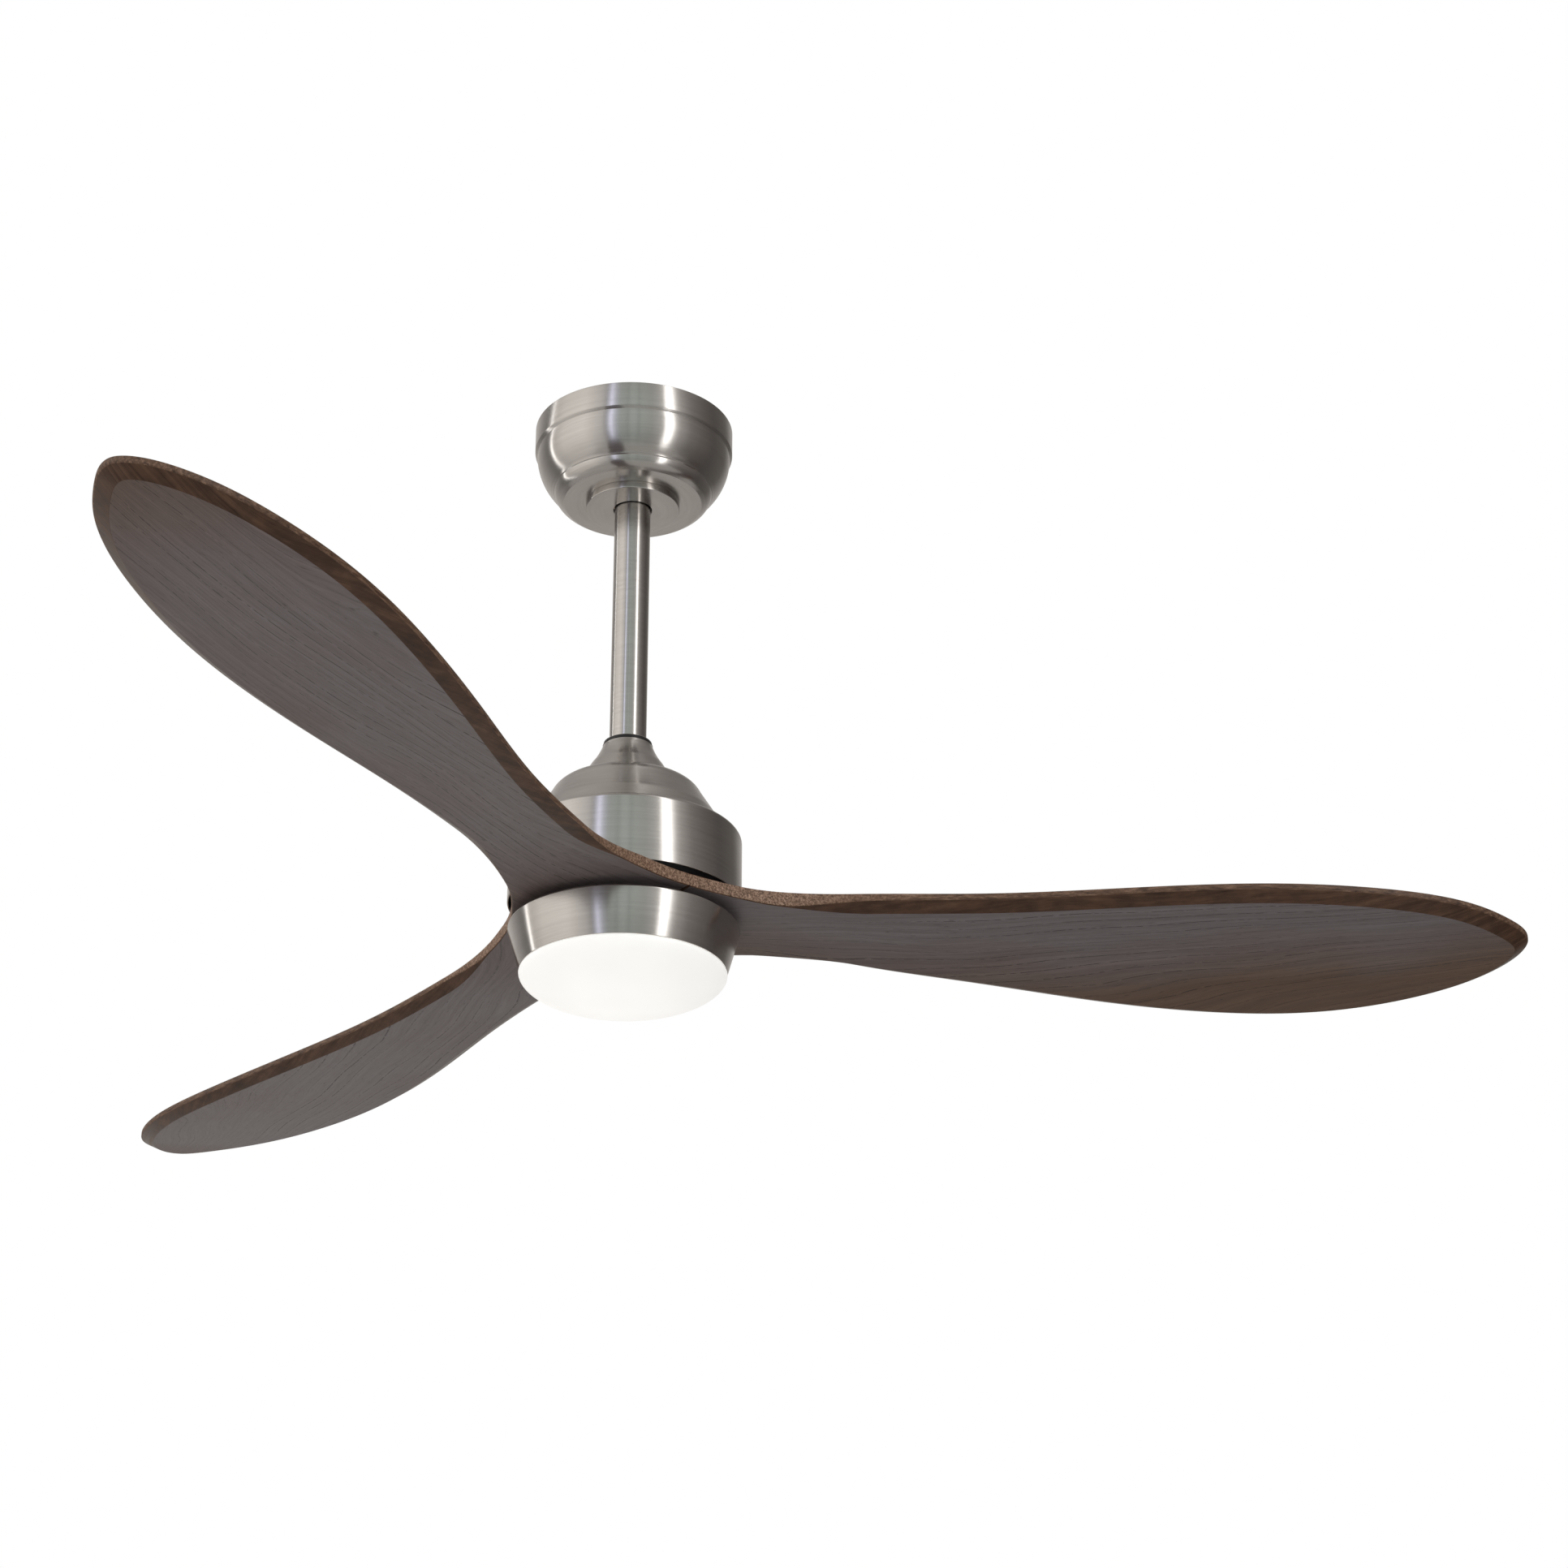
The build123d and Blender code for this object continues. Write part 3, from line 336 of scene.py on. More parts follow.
def walnut(name, offset, turn=0.0, warm_side=0.0, warm_start=0.5, light=1.0):
    """Dark stained open-grained wood under satin lacquer: brown with long rows of open pores, under a grey
    painted sheen that stands for the lacquer's reflection of the floor, so the face reads grey-brown. The
    grey painted sheen gives way to the brown towards the hub and the tip and towards one side, as set for
    each blade by how it catches the light, and in random patches."""
    nodes = Nodes(bpy.data.materials.new(name), turn)
    x, y = nodes.split(nodes.place())[:2]
    rings, along = growth_rings(nodes, offset)
    pores, phase = stained_pores(nodes, rings, along)
    streak = nodes.noise(nodes.scaled(along, 7.0, 330.0), 1.0, 5.0, 0.70)
    fine = nodes.noise(nodes.scaled(along, 60.0, 1500.0), 1.0, 2.0, 0.6)
    patch = nodes.noise(nodes.place(), 8.0, 2.0, 0.5)
    # Where the grey painted sheen gives way to brown: towards the tip and the hub, towards one side as each
    # blade catches the light, and in random patches.
    tip_warmth = nodes.remap(x, warm_start, 0.66, 0.0, 0.75)
    hub_warmth = nodes.remap(x, 0.07, 0.20, 0.35, 0.0)
    outward = nodes.math("MAXIMUM", tip_warmth, hub_warmth)
    sideways = nodes.math("MULTIPLY", y, warm_side)
    brown_over_sheen = nodes.math("ADD", outward, sideways)
    brown_over_sheen = nodes.math("ADD", brown_over_sheen, nodes.remap(patch, 0.3, 0.7, -0.2, 0.2))
    brown_over_sheen = nodes.remap(brown_over_sheen, 0.0, 1.0, 0.0, 1.0)
    # The grey tone is painted sheen: the lacquer's reflection of the floor painted into the colour, scaled by
    # each blade's light value for how brightly that blade catches it.
    painted_sheen_tone = nodes.ramp(streak, [
        (0.25, (0.140 * light, 0.116 * light, 0.120 * light)),
        (0.50, (0.190 * light, 0.164 * light, 0.172 * light)),
        (0.75, (0.245 * light, 0.216 * light, 0.224 * light)),
    ])
    warm_tone = nodes.ramp(streak, [
        (0.25, (0.095, 0.054, 0.033)),
        (0.50, (0.145, 0.085, 0.053)),
        (0.75, (0.200, 0.124, 0.082)),
    ])
    tone = nodes.mix(brown_over_sheen, painted_sheen_tone, warm_tone)
    tone = nodes.mix(nodes.remap(fine, 0.46, 0.72, 0.0, 0.25), tone, (0.060, 0.038, 0.032))
    tone = nodes.mix(nodes.remap(phase, 0.0, 0.45, 0.16, 0.0), tone, (0.090, 0.062, 0.058))
    colour = nodes.mix(nodes.math("MULTIPLY", pores, 0.84), tone, (0.012, 0.006, 0.004))
    relief = nodes.math("SUBTRACT", nodes.math("MULTIPLY", streak, 0.30), pores)
    nodes.join(
        Base_Color=colour,
        Roughness=nodes.remap(streak, 0.3, 0.7, 0.40, 0.52),
        Specular_IOR_Level=0.35,
        Normal=nodes.bump(relief, 0.30, 0.0004),
    )
    return nodes.owner


def walnut_edge(name, turn):
    """The sawn edge: warm copper brown, speckled where the grain is cut across near the root."""
    nodes = Nodes(bpy.data.materials.new(name), turn)
    x = nodes.split(nodes.place())[0]
    speckle = nodes.noise(nodes.place(), 620.0, 4.0, 0.85)
    fibre = nodes.noise(nodes.scaled(nodes.place(), 1.0, 8.0, 8.0), 70.0, 4.0, 0.75)
    end_grain = nodes.remap(x, 0.11, 0.24, 1.0, 0.0)
    sockets = {0: end_grain, 2: fibre, 3: speckle}
    grain = nodes.add("ShaderNodeMix", sockets, data_type="FLOAT").outputs[0]
    root_tone = nodes.ramp(grain, [
        (0.36, (0.060, 0.028, 0.017)),
        (0.50, (0.270, 0.155, 0.098)),
        (0.64, (0.640, 0.430, 0.310)),
    ])
    long_tone = nodes.ramp(grain, [
        (0.34, (0.055, 0.028, 0.017)),
        (0.52, (0.170, 0.092, 0.056)),
        (0.70, (0.330, 0.205, 0.138)),
    ])
    nodes.join(
        Base_Color=nodes.mix(end_grain, long_tone, root_tone),
        Roughness=nodes.remap(grain, 0.3, 0.7, 0.40, 0.58),
        Specular_IOR_Level=0.45,
        Normal=nodes.bump(grain, 0.45, 0.0005),
    )
    return nodes.owner


def walnut_bevel(name, offset, turn):
    """The routed bevel under the edge: long grain, darker and warmer than the face."""
    nodes = Nodes(bpy.data.materials.new(name), turn)
    along = growth_rings(nodes, offset)[1]
    fibre = nodes.noise(nodes.scaled(along, 14.0, 300.0), 1.0, 5.0, 0.75)
    cloud = nodes.noise(nodes.place(), 60.0, 3.0, 0.6)
    tone = nodes.ramp(fibre, [
        (0.30, (0.040, 0.018, 0.009)),
        (0.52, (0.110, 0.056, 0.032)),
        (0.74, (0.200, 0.110, 0.066)),
    ])
    nodes.join(
        Base_Color=nodes.mix(nodes.remap(cloud, 0.40, 0.68, 0.0, 0.5), tone, (0.030, 0.015, 0.010)),
        Roughness=nodes.remap(fibre, 0.3, 0.7, 0.26, 0.42),
        Specular_IOR_Level=0.30,
        Normal=nodes.bump(fibre, 0.25, 0.0004),
    )
    return nodes.owner


def opal():
    """Satin opal plastic lit from within, a little brighter in the middle than at the rim."""
    nodes = Nodes(bpy.data.materials.new("opal_diffuser_look"))
    x, y = nodes.split(nodes.place())[:2]
    cloud = nodes.noise(nodes.place(), 40.0, 2.0, 0.5)
    grain = nodes.noise(nodes.place(), 900.0, 2.0, 0.6)
    glow = nodes.remap(nodes.length(x, y), 0.030, 0.0735, 0.58, 0.50)
    nodes.join(
        Base_Color=nodes.ramp(cloud, [(0.3, (0.90, 0.90, 0.885)), (0.7, (0.93, 0.93, 0.92))]),
        Roughness=nodes.remap(grain, 0.3, 0.7, 0.34, 0.42),
        Emission_Color=(1.0, 0.992, 0.972, 1.0),
        Emission_Strength=nodes.math("ADD", glow, nodes.remap(cloud, 0.3, 0.7, -0.006, 0.006)),
    )
    return nodes.owner


def glowing(name, colour, strength):
    """A lit surface with fine grain."""
    nodes = Nodes(bpy.data.materials.new(name))
    grain = nodes.noise(nodes.place(), 1500.0, 2.0, 0.6)
    nodes.join(
        Base_Color=nodes.ramp(grain, [(0.3, tuple(c * 0.85 for c in colour)), (0.7, colour)]),
        Roughness=nodes.remap(grain, 0.3, 0.7, 0.3, 0.45),
        Emission_Color=(*colour, 1.0),
        Emission_Strength=strength,
    )
    return nodes.owner


# ------------------------------------------------------------------ finishes, by the record's material slot
rubber = moulded("black_rubber_look", (0.012, 0.012, 0.013), 0.32, grain=700.0)
bright_lip = moulded("bright_lip_look", (0.72, 0.70, 0.68), 0.18, metallic=1.0)
LOOKS = {
    "brushed_nickel": brushed_nickel(),
    "zinc_steel": moulded("zinc_steel_look", (0.60, 0.61, 0.63), 0.34, grain=500.0, metallic=1.0),
    "green_screw": moulded("green_screw_look", (0.05, 0.26, 0.09), 0.36),
    "black_plastic": moulded("black_plastic_look", (0.022, 0.022, 0.024), 0.45),
    "connector_plastic": moulded("connector_plastic_look", (0.62, 0.22, 0.03), 0.40),
    "cable_sheath": moulded("cable_sheath_look", (0.62, 0.62, 0.60), 0.50),
    "black_rubber": rubber,
    "cast_alloy": moulded(
        "cast_alloy_look", (0.22, 0.22, 0.23), 0.52, grain=350.0, strength=0.2, metallic=1.0
    ),
    "board_green": moulded("board_green_look", (0.02, 0.13, 0.055), 0.38),
    "component_dark": moulded("component_dark_look", (0.03, 0.03, 0.035), 0.35),
    "lamination_steel": layered(
        "lamination_steel_look", (0.32, 0.32, 0.34), gap=(0.06, 0.06, 0.07),
        spacing=0.0005, metallic=1.0, rough=0.42,
    ),
    "copper_enamel": layered(
        "copper_enamel_look", (0.50, 0.17, 0.05), gap=(0.12, 0.03, 0.01),
        spacing=0.0009, metallic=0.6, rough=0.30,
    ),
    "magnet_dark": moulded("magnet_dark_look", (0.12, 0.12, 0.13), 0.48, grain=500.0, metallic=0.8),
    "driver_case": moulded("driver_case_look", (0.74, 0.74, 0.72), 0.44),
    "led_board_white": moulded("led_board_white_look", (0.84, 0.84, 0.81), 0.36),
    "led_yellow": glowing("led_yellow_look", (0.95, 0.80, 0.34), strength=1.5),
    "white_plastic": moulded("white_plastic_look", (0.80, 0.80, 0.78), 0.42),
    "opal_diffuser": opal(),
    "walnut": walnut("walnut_look", 0.0),
}

slot_of = {part["node"]: part["material_slot"] for part in frame["record"]["subparts"]}
for node, carried in frame["nodes"].items():
    carried.data.materials.clear()
    carried.data.materials.append(LOOKS[slot_of[node]])


def fit(piece, node, body, materials=()):
    """The piece rides on its body in place of the CAD node, which it hides, and takes the look of the node's
    slot unless other materials are given."""
    for material in materials or [LOOKS[slot_of[node]]]:
        piece.data.materials.append(material)
    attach(piece, body)
    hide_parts(node)


# ------------------------------------------------------------------ turned covers
canopy = lathe("canopy_shell", [
    (74.0, -0.05),
    (74.0, -19.2, 0.7),
    (73.0, -20.5, 0.3),
    (72.3, -21.3, 0.2),
    *arc((72.3, -21.6), (69.2, -37), (60.0, -51.2), 20),
    (59.6, -51.9, 0.4),
    *arc((58.9, -52.5), (56.8, -56.8), (52.6, -60.3), 10),
    (51.4, -61.0, 0.4),
    (17, -61.0),
    (17, -59.8),
    (50, -59.8, 0),
    *arc((50, -59.8), (55.5, -55.8), (58.4, -51.0), 6),
    *arc((58.4, -51.0), (67.9, -36.8), (70.9, -21.3), 14),
    (72.8, -19.0, 0),
    (72.8, -0.05),
])
fit(canopy, "canopy", "ceiling_side")

collar = lathe("collar_cup", [
    (34.9, -61.0),
    (34.9, -66.5, 0.6),
    (14.4, -66.5),
    (14.4, -65.4),
    (33.7, -65.4),
    (33.7, -61.0),
])
fit(collar, "canopy_collar", "ceiling_side")

rod = lathe("rod_tube", [
    (13.35, -32.0),
    (13.35, -285.9),
    (10.5, -285.9),
    (10.5, -32.0),
])
fit(rod, "downrod", "hanging_side")

seal = lathe("rod_seal", [
    (13.38, -260.3),
    (17.0, -260.3, 0.1),
    (17.5, -260.8, 0.1),
    (17.3, -261.0, 0.1),
    (18.2, -263.2, 0.2),
    (16.8, -263.25, 0.1),
    (16.8, -265.7),
    (13.38, -265.7),
], bands=[(-260.85, -260.0, 1)])
fit(seal, "cover_seal", "hanging_side", [rubber, bright_lip])

cover = lathe("rod_cover", [
    (18.0, -263.3, 0.4),
    *arc((18.3, -264.6), (21.5, -271.8), (26.3, -279.3), 12),
    *arc((26.6, -279.8), (30.9, -287.2), (35.9, -295.7), 10),
    (34.6, -295.9),
    *arc((29.6, -287.6), (25.2, -279.6), (20.3, -272.1), 12),
    (16.9, -263.5, 0.3),
])
fit(cover, "coupling_cover", "hanging_side")

cap = lathe("motor_dome", [
    *arc((42.5, -296), (49.8, -298.8), (54.8, -305.2), 14),
    (65, -321.5, 0),
    *arc((65.6, -322.4), (69.0, -329.2), (72.9, -336.6), 8),
    (73.4, -342),
    (72.2, -342),
    (72.2, -337, 0),
    (63.8, -322, 0),
    *arc((53.6, -305.7), (49.0, -299.8), (42.5, -297.2), 10),
    (17, -297.2),
    (17, -296.0),
])
fit(cap, "motor_cap", "hanging_side")

band = lathe("motor_shell", [
    (83.0, -388.0, 0.5),
    *arc((83.0, -340.5), (81.97, -338.03), (79.5, -337.0), 8),
    (73.6, -337.2, 0.2),
    (73.6, -338.2, 0.2),
    *arc((79.5, -338.2), (81.1, -338.9), (81.8, -340.5), 8),
    (81.8, -388.0, 0.4),
])
fit(band, "motor_band", "hanging_side")

pan = lathe("light_housing", [
    *arc((80.2, -406.5), (81.5, -407.0), (82.0, -408.3), 8),
    (73.2, -439.7, 0.45),
    (71.9, -439.7, 0.3),
    (80.7, -408.9, 0),
    (79.8, -407.7, 0.3),
    (7.6, -407.7),
    (7.6, -406.5),
])
fit(pan, "light_pan", "hanging_side")

BOWL_R = 73.4
BOWL_TOP = -440.1
BOWL_DEPTH = 20.6
BOWL_BRIM = 0.8           # height of the upright part under the brim
NECK_TOP = -429.8


def bowl_outline(steps):
    """The bowl's outer side from the rim to the middle: a flattened dome that meets the rim upright."""
    dome = BOWL_DEPTH - BOWL_BRIM
    out = []
    for k in range(1, steps):
        turn = math.pi / 2 * k / steps
        out.append((BOWL_R * math.cos(turn) ** 0.92, BOWL_TOP - BOWL_BRIM - dome * math.sin(turn) ** 1.12, 0))
    return out


diffuser = lathe("opal_bowl", [
    (67.4, NECK_TOP),
    (67.4, BOWL_TOP, 0.3),
    (BOWL_R - 0.5, BOWL_TOP, 0.4),
    (BOWL_R, BOWL_TOP - BOWL_BRIM, 0),
    *bowl_outline(26),
    (0, BOWL_TOP - BOWL_DEPTH, 0),
    (0, BOWL_TOP - BOWL_DEPTH + 2, 0),
    *[(r * 0.965, z + 2.2, 0) for r, z, _ in reversed(bowl_outline(12)) if r < 64],
    (65.4, -444.2, 0),
    (65.4, NECK_TOP),
])
fit(diffuser, "diffuser", "light_cover")

# ------------------------------------------------------------------ blades
BLADE_COUNT = 3
SPAN_R = 660.0
ROOT_TOP = -391.0
BLADE_T = 9.5
ROOT_BEND = 78.0          # the blade is flat up to here
DISH = 7.0
TIP_RISE = 12.5
TWIST = 0.18              # slope across the blade, past the root
TWIST_RUN = 66.0
EDGE_LAG = 18.0           # the underside starts to turn this much later than the top
ROOT_R = 80.0
ROOT_INNER_R = 24.0
JOINT_X = 40.0
JOINT_GAP = 0.5           # half the gap between two blades' roots
BEVEL_WIDTH = 10.0
BEVEL_HEIGHT = 5.5
BEVEL_START = 98.0        # the bevel grows from here to BEVEL_FULL
BEVEL_FULL = 172.0
PLAIN_EDGE = 0.9          # small rounding of the edge where there is no bevel yet
COLUMNS = 150
WEDGE_COLUMNS = 12        # columns of the wedge that meets its neighbours at the hub
ROWS = 26

LEAD_WAIST = (1, -0.09)   # direction of each side's outline where root and blade meet
TRAIL_WAIST = (1, 0.11)

LEAD_ROOT = [(40, -69.18), (104, -43.5), (160, -42)]
LEADING = [
    (160, -42), (250, -51), (350, -67), (450, -76.5), (530, -70), (600, -49.5), (640, -24), (660, 5),
]
TRAIL_ROOT = [(40, 69.18), (104, 48), (160, 48)]
TRAILING = [
    (160, 48), (250, 57), (350, 74), (450, 87), (530, 86), (600, 67), (640, 42), (660, 5),
]


def spline(points, start, end, steps=300):
    """A smooth curve through the points with a set direction at each end."""
    p = np.array(points, float)
    gap = np.linalg.norm(np.diff(p, axis=0), axis=1)
    slope = np.diff(p, axis=0) / gap[:, None]
    count = len(p)
    matrix = np.zeros((count, count))
    right = np.zeros((count, 2))
    matrix[0, 0] = matrix[-1, -1] = 1
    right[0] = np.array(start) / np.linalg.norm(start)
    right[-1] = np.array(end) / np.linalg.norm(end)
    for i in range(1, count - 1):
        matrix[i, i - 1:i + 2] = gap[i], 2 * (gap[i - 1] + gap[i]), gap[i - 1]
        right[i] = 3 * (gap[i] * slope[i - 1] + gap[i - 1] * slope[i])
    tangent = np.linalg.solve(matrix, right)
    out = []
    for i in range(count - 1):
        for t in np.linspace(0, 1, steps, endpoint=False):
            out.append(
                p[i] * (1 + 2 * t) * (1 - t) ** 2 + p[i + 1] * t * t * (3 - 2 * t)
                + gap[i] * (tangent[i] * t * (1 - t) ** 2 - tangent[i + 1] * t * t * (1 - t))
            )
    out.append(p[-1])
    return np.array(out)


def top_height(x):
    run = max(0.0, (x - ROOT_BEND) / (SPAN_R - ROOT_BEND))
    return ROOT_TOP - DISH * math.sin(math.pi * run) + TIP_RISE * run ** 3


def pitch(x, start):
    return TWIST * (1 - math.exp(-((max(0.0, x - start) / TWIST_RUN) ** 1.5)))


def top_z(x, y):
    return top_height(x) - pitch(x, ROOT_BEND) * y


def bottom_z(x, y):
    return top_height(x) - BLADE_T - pitch(x, ROOT_BEND + EDGE_LAG) * y


def edge_profile(point, inward, width, height):
    """Points of one edge from the underside to the upper face, for the outline point and its inward
    normal: the bevel with softened ends, then the upright side and its rounding into the top."""
    def under(distance, lift=0.0):
        x, y = point + inward * distance
        return (x, y, bottom_z(x, y) + height * max(0.0, 1 - distance / width) + lift)

    def over(distance, drop):
        x, y = point + inward * distance
        return (x, y, top_z(*point) - drop)

    inner = point + inward * 2.0
    near = min(0.9, 0.45 * width)
    return [
        under(width + 0.8),
        under(width + 0.12),
        under(width - min(0.5, 0.25 * width)),
        under(near),
        under(near * 0.28, 0.08),
        under(0, 0.4),
        over(0, 1.3),
        over(0.12, 0.75),
        over(0.45, 0.3),
        over(1.1, 0.03),
        (inner[0], inner[1], top_z(*inner)),
    ]


def blade_columns():
    """Each column's two outline points with their inward normals, from the inner arc to the tip, and how
    straight the column is: 0 is an arc about the axis."""
    lead = np.vstack([
        spline(LEAD_ROOT, (0.866, 0.5), LEAD_WAIST),
        spline(LEADING, LEAD_WAIST, (0, 1))[1:],
    ])
    trail = np.vstack([
        spline(TRAIL_ROOT, (0.866, -0.5), TRAIL_WAIST),
        spline(TRAILING, TRAIL_WAIST, (0, -1))[1:],
    ])
    joint = math.radians(180 / BLADE_COUNT)
    along = [np.array((math.cos(joint), side * math.sin(joint))) for side in (-1, 1)]
    joint_inward = [np.array((math.sin(joint), -side * math.cos(joint))) for side in (-1, 1)]
    columns = []
    for k in range(WEDGE_COLUMNS):
        radius = ROOT_INNER_R + (ROOT_R - ROOT_INNER_R) * k / WEDGE_COLUMNS
        low, high = ((a * radius + inward * JOINT_GAP, inward) for a, inward in zip(along, joint_inward))
        columns.append((low, high, k / WEDGE_COLUMNS))
    xs = [SPAN_R - (SPAN_R - JOINT_X) * (1 - k / COLUMNS) ** 2 for k in range(COLUMNS + 1)]
    low_side = [np.array((x, np.interp(x, lead[:, 0], lead[:, 1]))) for x in xs]
    high_side = [np.array((x, np.interp(x, trail[:, 0], trail[:, 1]))) for x in xs]
    loop = low_side + high_side[-2::-1]
    last = len(loop) - 1
    for k in range(COLUMNS):
        outline = []
        for index, corner_inward in zip((k, last - k), joint_inward):
            before, after = loop[max(index - 1, 0)], loop[min(index + 1, last)]
            tangent = (after - before) / np.linalg.norm(after - before)
            inward = np.array((-tangent[1], tangent[0]))
            if k == 0:
                inward = inward + corner_inward
            outline.append((loop[index], inward))
        columns.append((*outline, 1.0))
    return columns


def across(start, end, t, straight, surface):
    """A point between two edges: on a straight line or, towards the hub, on an arc about the axis."""
    a, b = np.array(start[:2]), np.array(end[:2])
    line = a + (b - a) * t
    if straight < 1:
        first, last = math.atan2(a[1], a[0]), math.atan2(b[1], b[0])
        angle = first + (last - first) * t
        curve = np.array((math.cos(angle), math.sin(angle))) * np.linalg.norm(a)
        line = curve + (line - curve) * straight
    return (line[0], line[1], surface(*line))


# The blade's materials, and which of them each face of an edge has, from the underside up.
FACE, BEVEL, SAWN = 0, 1, 2
EDGE_ZONES = (FACE, BEVEL, BEVEL, SAWN, SAWN, SAWN, SAWN, SAWN, SAWN, FACE)


def blade_mesh():
    """One blade along +X: sections of edge, underside, other edge and upper face, joined from the hub to the
    tip. The sides of the joints between the blades' roots take the bevel's darker brown instead of the sawn
    edge's, as painted shade in the narrow gap between the roots."""
    mesh = bpy.data.meshes.new("blade")
    work = bmesh.new()
    sections = []
    steps = [k / ROWS for k in range(1, ROWS)]
    for (low, low_in), (high, high_in), straight in blade_columns():
        grow = smoothstep(BEVEL_START, BEVEL_FULL, low[0]) if straight == 1 else 0.0
        width = PLAIN_EDGE + (BEVEL_WIDTH - PLAIN_EDGE) * grow
        height = PLAIN_EDGE + (BEVEL_HEIGHT - PLAIN_EDGE) * grow
        low_edge = edge_profile(low, low_in, width, height)
        high_edge = edge_profile(high, high_in, width, height)
        under = [across(low_edge[0], high_edge[0], t, straight, bottom_z) for t in steps]
        over = [across(low_edge[-1], high_edge[-1], t, straight, top_z) for t in steps]
        low_edge, under, high_edge, over = (
            [work.verts.new([c * MM for c in p]) for p in points]
            for points in (low_edge, under, high_edge, over)
        )
        sections.append((
            low_edge,
            [low_edge[0], *under, high_edge[0]],
            high_edge,
            [low_edge[-1], *over, high_edge[-1]],
        ))
    zones = (EDGE_ZONES, (FACE,) * ROWS, EDGE_ZONES, (FACE,) * ROWS)
    for number, (section, after) in enumerate(zip(sections, sections[1:])):
        for row, next_row, row_zones in zip(section, after, zones):
            for k, index in enumerate(row_zones):
                face = work.faces.new((row[k], row[k + 1], next_row[k + 1], next_row[k]))
                # Joint sides take the darker bevel look: painted shade in the gap between the roots.
                in_joint = number < WEDGE_COLUMNS and index == SAWN
                face.material_index = BEVEL if in_joint else index
    low_edge, under, high_edge, over = sections[0]
    work.faces.new(low_edge)
    work.faces.new(high_edge)
    for k in range(ROWS):
        work.faces.new((under[k], under[k + 1], over[k + 1], over[k]))
    low_edge, under, high_edge, over = sections[-1]
    work.faces.new((*under, high_edge[1], low_edge[1]))
    work.faces.new((*over, high_edge[-2], low_edge[-2]))
    for k in range(1, len(low_edge) - 2):
        face = work.faces.new((low_edge[k], low_edge[k + 1], high_edge[k + 1], high_edge[k]))
        face.material_index = EDGE_ZONES[k]
    bmesh.ops.recalc_face_normals(work, faces=work.faces)
    work.to_mesh(mesh)
    work.free()
    smooth(mesh, WOOD_CREASE)
    return mesh


# Each blade's painted sheen, set by how that blade catches the light: how much warmer (less grey painted
# sheen, more brown) it is towards the trailing side, the local X in metres where the warmth towards the tip
# begins, and the lightness of its grey painted sheen.
BLADE_PAINTED_SHEEN = [(12.0, 0.22, 1.04), (0.0, 0.60, 1.26), (-2.0, 0.50, 1.14)]

blade_form = blade_mesh()
for turn in range(BLADE_COUNT):
    name = f"blade_{turn + 1}"
    blade = add_object(f"wood_{name}", blade_form.copy())
    angle = 2 * math.pi * turn / BLADE_COUNT
    blade.data.transform(Matrix.Rotation(angle, 4, "Z"))
    grain = 1.7 + 2.3 * turn      # each blade is cut from another board
    fit(blade, name, "rotor", [
        walnut(f"walnut_face_{turn + 1}", grain, angle, *BLADE_PAINTED_SHEEN[turn]),
        walnut_bevel(f"walnut_bevel_{turn + 1}", grain, angle),
        walnut_edge(f"walnut_edge_{turn + 1}", angle),
    ])

# ------------------------------------------------------------------ floor, light and camera
FLOOR_Z = -2.5
FLOOR_HALF = 2.6
VIEW_AZIMUTH = math.radians(-93.94)      # direction from the fan's axis to the camera
CAMERA_PLACE = (-0.1593, -2.3111, -1.3920)
CAMERA_PITCH = 25.417                    # degrees above the horizon
CAMERA_HEADING = -6.738
CAMERA_SENSOR = 36
CAMERA_LENS = 81.76


def pale_floor():
    """A plain pale floor with hardly any mottling."""
    nodes = Nodes(bpy.data.materials.new("pale_floor_look"))
    cloud = nodes.noise(nodes.place(), 0.8, 3.0, 0.5)
    fine = nodes.noise(nodes.place(), 60.0, 2.0, 0.5)
    nodes.join(
        Base_Color=nodes.ramp(cloud, [(0.3, (0.80, 0.795, 0.785)), (0.7, (0.84, 0.835, 0.825))]),
        Roughness=nodes.remap(fine, 0.3, 0.7, 0.65, 0.75),
    )
    return nodes.owner


corners = ((-1, -1), (1, -1), (1, 1), (-1, 1))
floor_mesh = bpy.data.meshes.new("floor")
floor_mesh.from_pydata([(x * FLOOR_HALF, y * FLOOR_HALF, FLOOR_Z) for x, y in corners], [], [(0, 1, 2, 3)])
floor = add_object("floor", floor_mesh)
floor_mesh.materials.append(pale_floor())

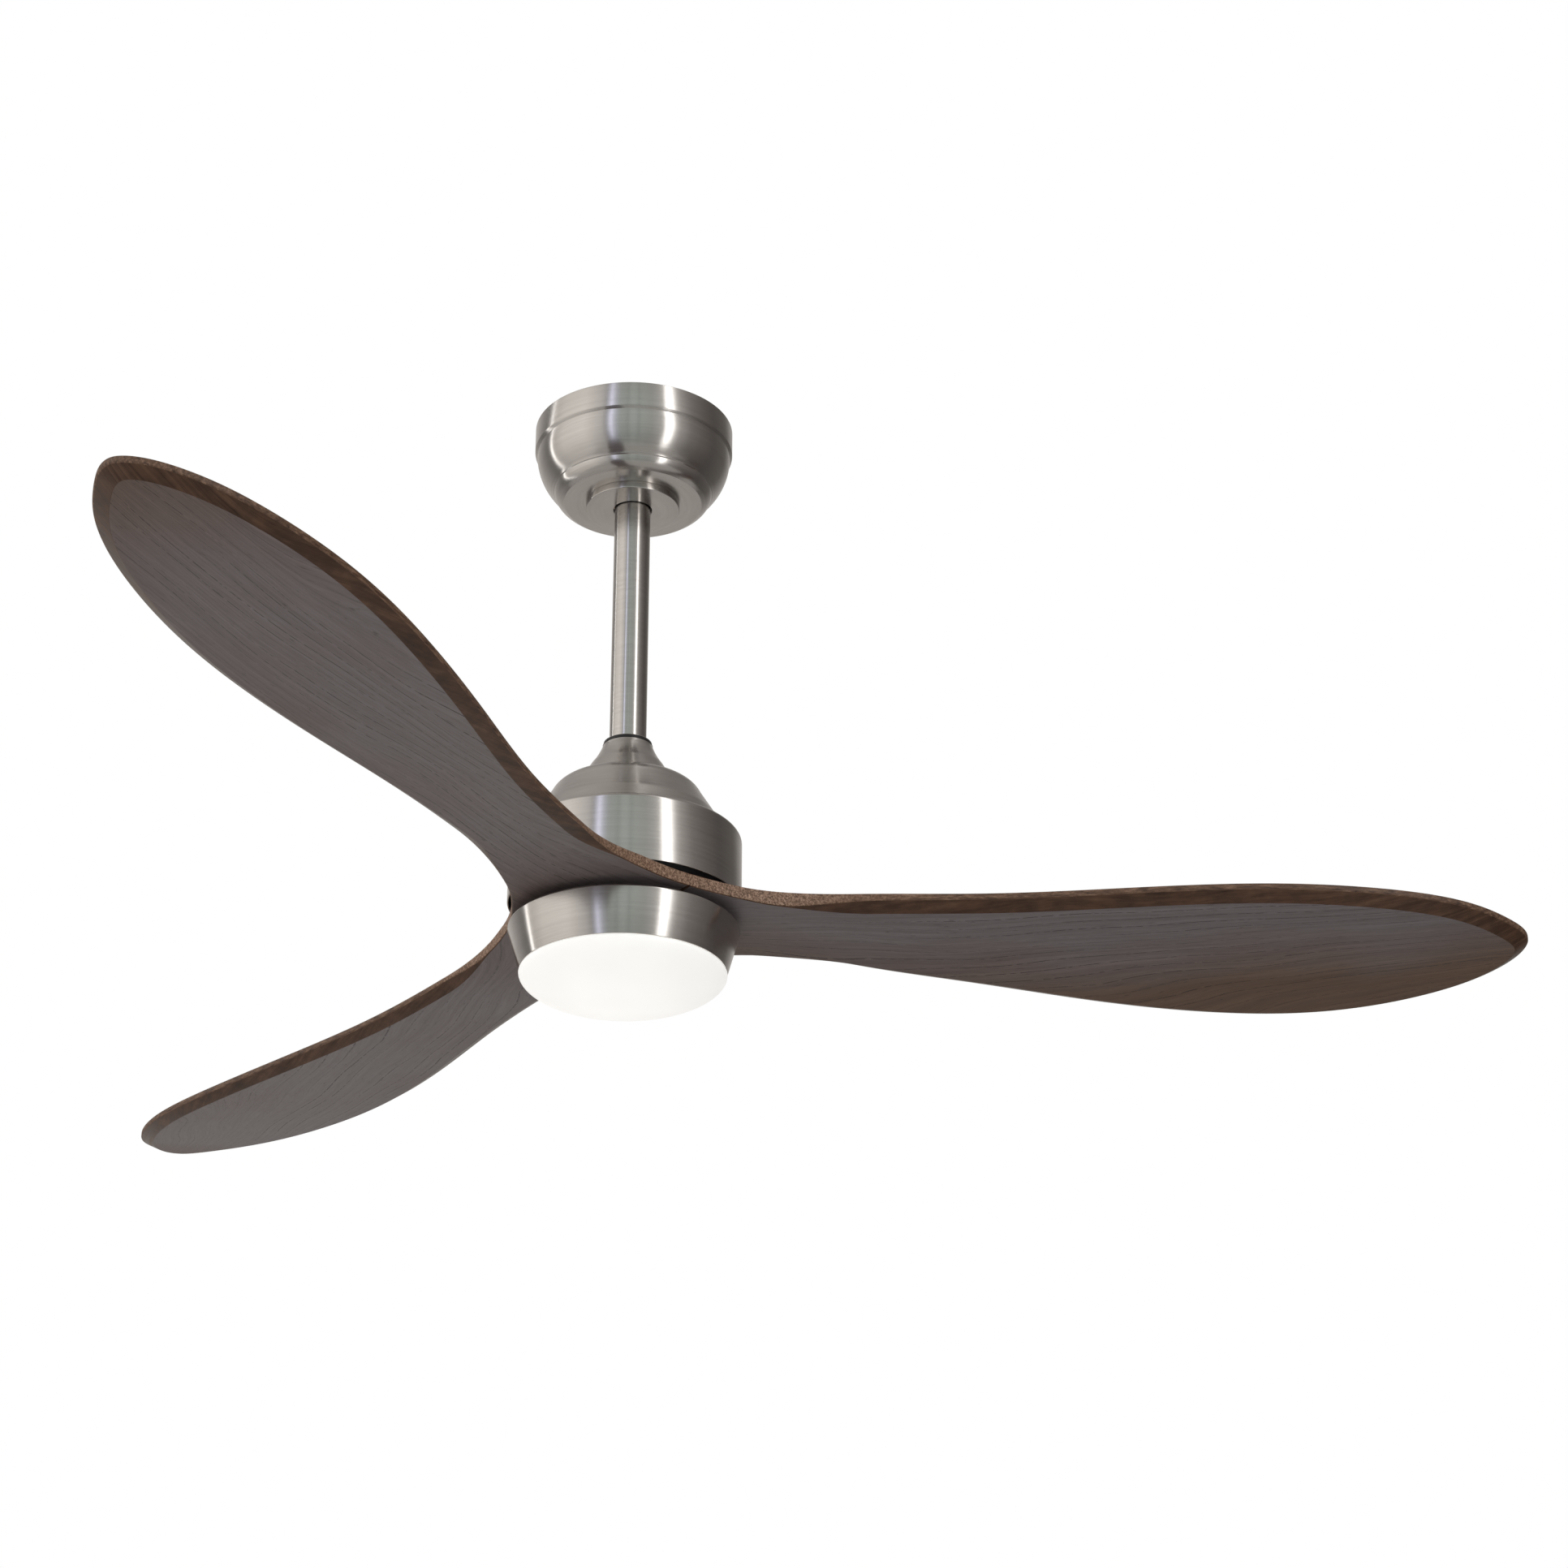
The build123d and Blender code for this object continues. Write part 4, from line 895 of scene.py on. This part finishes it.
# Soft boxes and walls round the studio, as (degrees round the axis from the camera's side, colour). The
# boxes are tall, so turned metal shows each one as an upright streak.
SOFT_BOXES = [
    (-180, (0.66, 0.63, 0.60)),
    (-150, (0.50, 0.475, 0.45)),
    (-122, (0.22, 0.21, 0.20)),
    (-113, (0.24, 0.23, 0.22)),
    (-112, (3.2, 3.15, 3.08)),
    (-110, (3.2, 3.15, 3.08)),
    (-109, (0.60, 0.575, 0.545)),
    (-90, (0.90, 0.87, 0.82)),
    (-60, (1.02, 0.985, 0.935)),
    (-38, (0.72, 0.705, 0.68)),
    (-33, (0.42, 0.42, 0.42)),
    (-30, (0.62, 0.64, 0.72)),
    (-27, (1.5, 1.55, 1.9)),
    (-24, (0.75, 0.78, 0.90)),
    (-18, (0.47, 0.51, 0.50)),
    (-9, (0.46, 0.50, 0.475)),
    (-7.5, (0.27, 0.29, 0.28)),
    (-6, (0.50, 0.545, 0.52)),
    (3, (0.50, 0.545, 0.52)),
    (4.5, (0.27, 0.29, 0.28)),
    (6, (0.48, 0.52, 0.495)),
    (20, (0.44, 0.46, 0.44)),
    (34, (0.60, 0.59, 0.57)),
    (37.5, (3.4, 3.38, 3.34)),
    (43, (3.4, 3.38, 3.34)),
    (47, (1.0, 0.98, 0.95)),
    (53, (0.50, 0.48, 0.46)),
    (68, (0.25, 0.235, 0.22)),
    (84, (0.17, 0.155, 0.145)),
    (104, (0.11, 0.10, 0.095)),
    (135, (0.15, 0.14, 0.13)),
    (180, (0.66, 0.63, 0.60)),
]

# The studio's light from above, in the same way.
CEILING_LIGHT = [
    (-180, (0.30, 0.285, 0.27)),
    (-90, (0.52, 0.50, 0.475)),
    (-40, (0.40, 0.38, 0.355)),
    (0, (0.30, 0.28, 0.26)),
    (24, (0.32, 0.30, 0.28)),
    (40, (0.85, 0.83, 0.80)),
    (60, (0.40, 0.38, 0.36)),
    (120, (0.24, 0.225, 0.21)),
    (180, (0.30, 0.285, 0.27)),
]


FLOOR_LIGHT = (0.60, 0.57, 0.545)
BACKDROP = (1.0, 1.0, 1.0)


def studio():
    """Soft studio light all round. Seen directly, the background is plain white."""
    world = bpy.data.worlds.new("studio")
    bpy.context.scene.world = world
    nodes = Nodes(world)
    background = nodes.tree.nodes["Background"]
    x, y, z = nodes.split(nodes.add("ShaderNodeTexCoord").outputs["Generated"])
    turn = nodes.math("DIVIDE", nodes.math("ARCTAN2", y, x), 2 * math.pi)
    place = nodes.math("FRACT", nodes.math("ADD", turn, 0.5 - VIEW_AZIMUTH / (2 * math.pi)))
    boxes, ceiling = (
        nodes.ramp(place, [((degrees + 180) / 360, colour) for degrees, colour in stops])
        for stops in (SOFT_BOXES, CEILING_LIGHT)
    )
    walls = nodes.mix(nodes.remap(z, 0.60, 0.80, 0.0, 1.0), boxes, ceiling)
    shade = nodes.remap(z, -0.50, 0.05, 0.70, 1.0)
    walls = nodes.mix(1.0, walls, nodes.merge(shade, shade, shade), "MULTIPLY")
    light = nodes.mix(nodes.remap(z, -0.80, -0.60, 1.0, 0.0), walls, FLOOR_LIGHT)
    seen = nodes.add("ShaderNodeLightPath").outputs["Is Camera Ray"]
    nodes.put(background.inputs["Color"], nodes.mix(seen, light, BACKDROP))


studio()

camera = bpy.data.objects.new("camera", bpy.data.cameras.new("camera"))
bpy.context.scene.collection.objects.link(camera)
camera.location = CAMERA_PLACE
camera.rotation_euler = (math.radians(90 + CAMERA_PITCH), 0, math.radians(CAMERA_HEADING))
camera.data.sensor_width = CAMERA_SENSOR
camera.data.lens = CAMERA_LENS
bpy.context.scene.camera = camera
bpy.context.scene.view_settings.view_transform = "Standard"
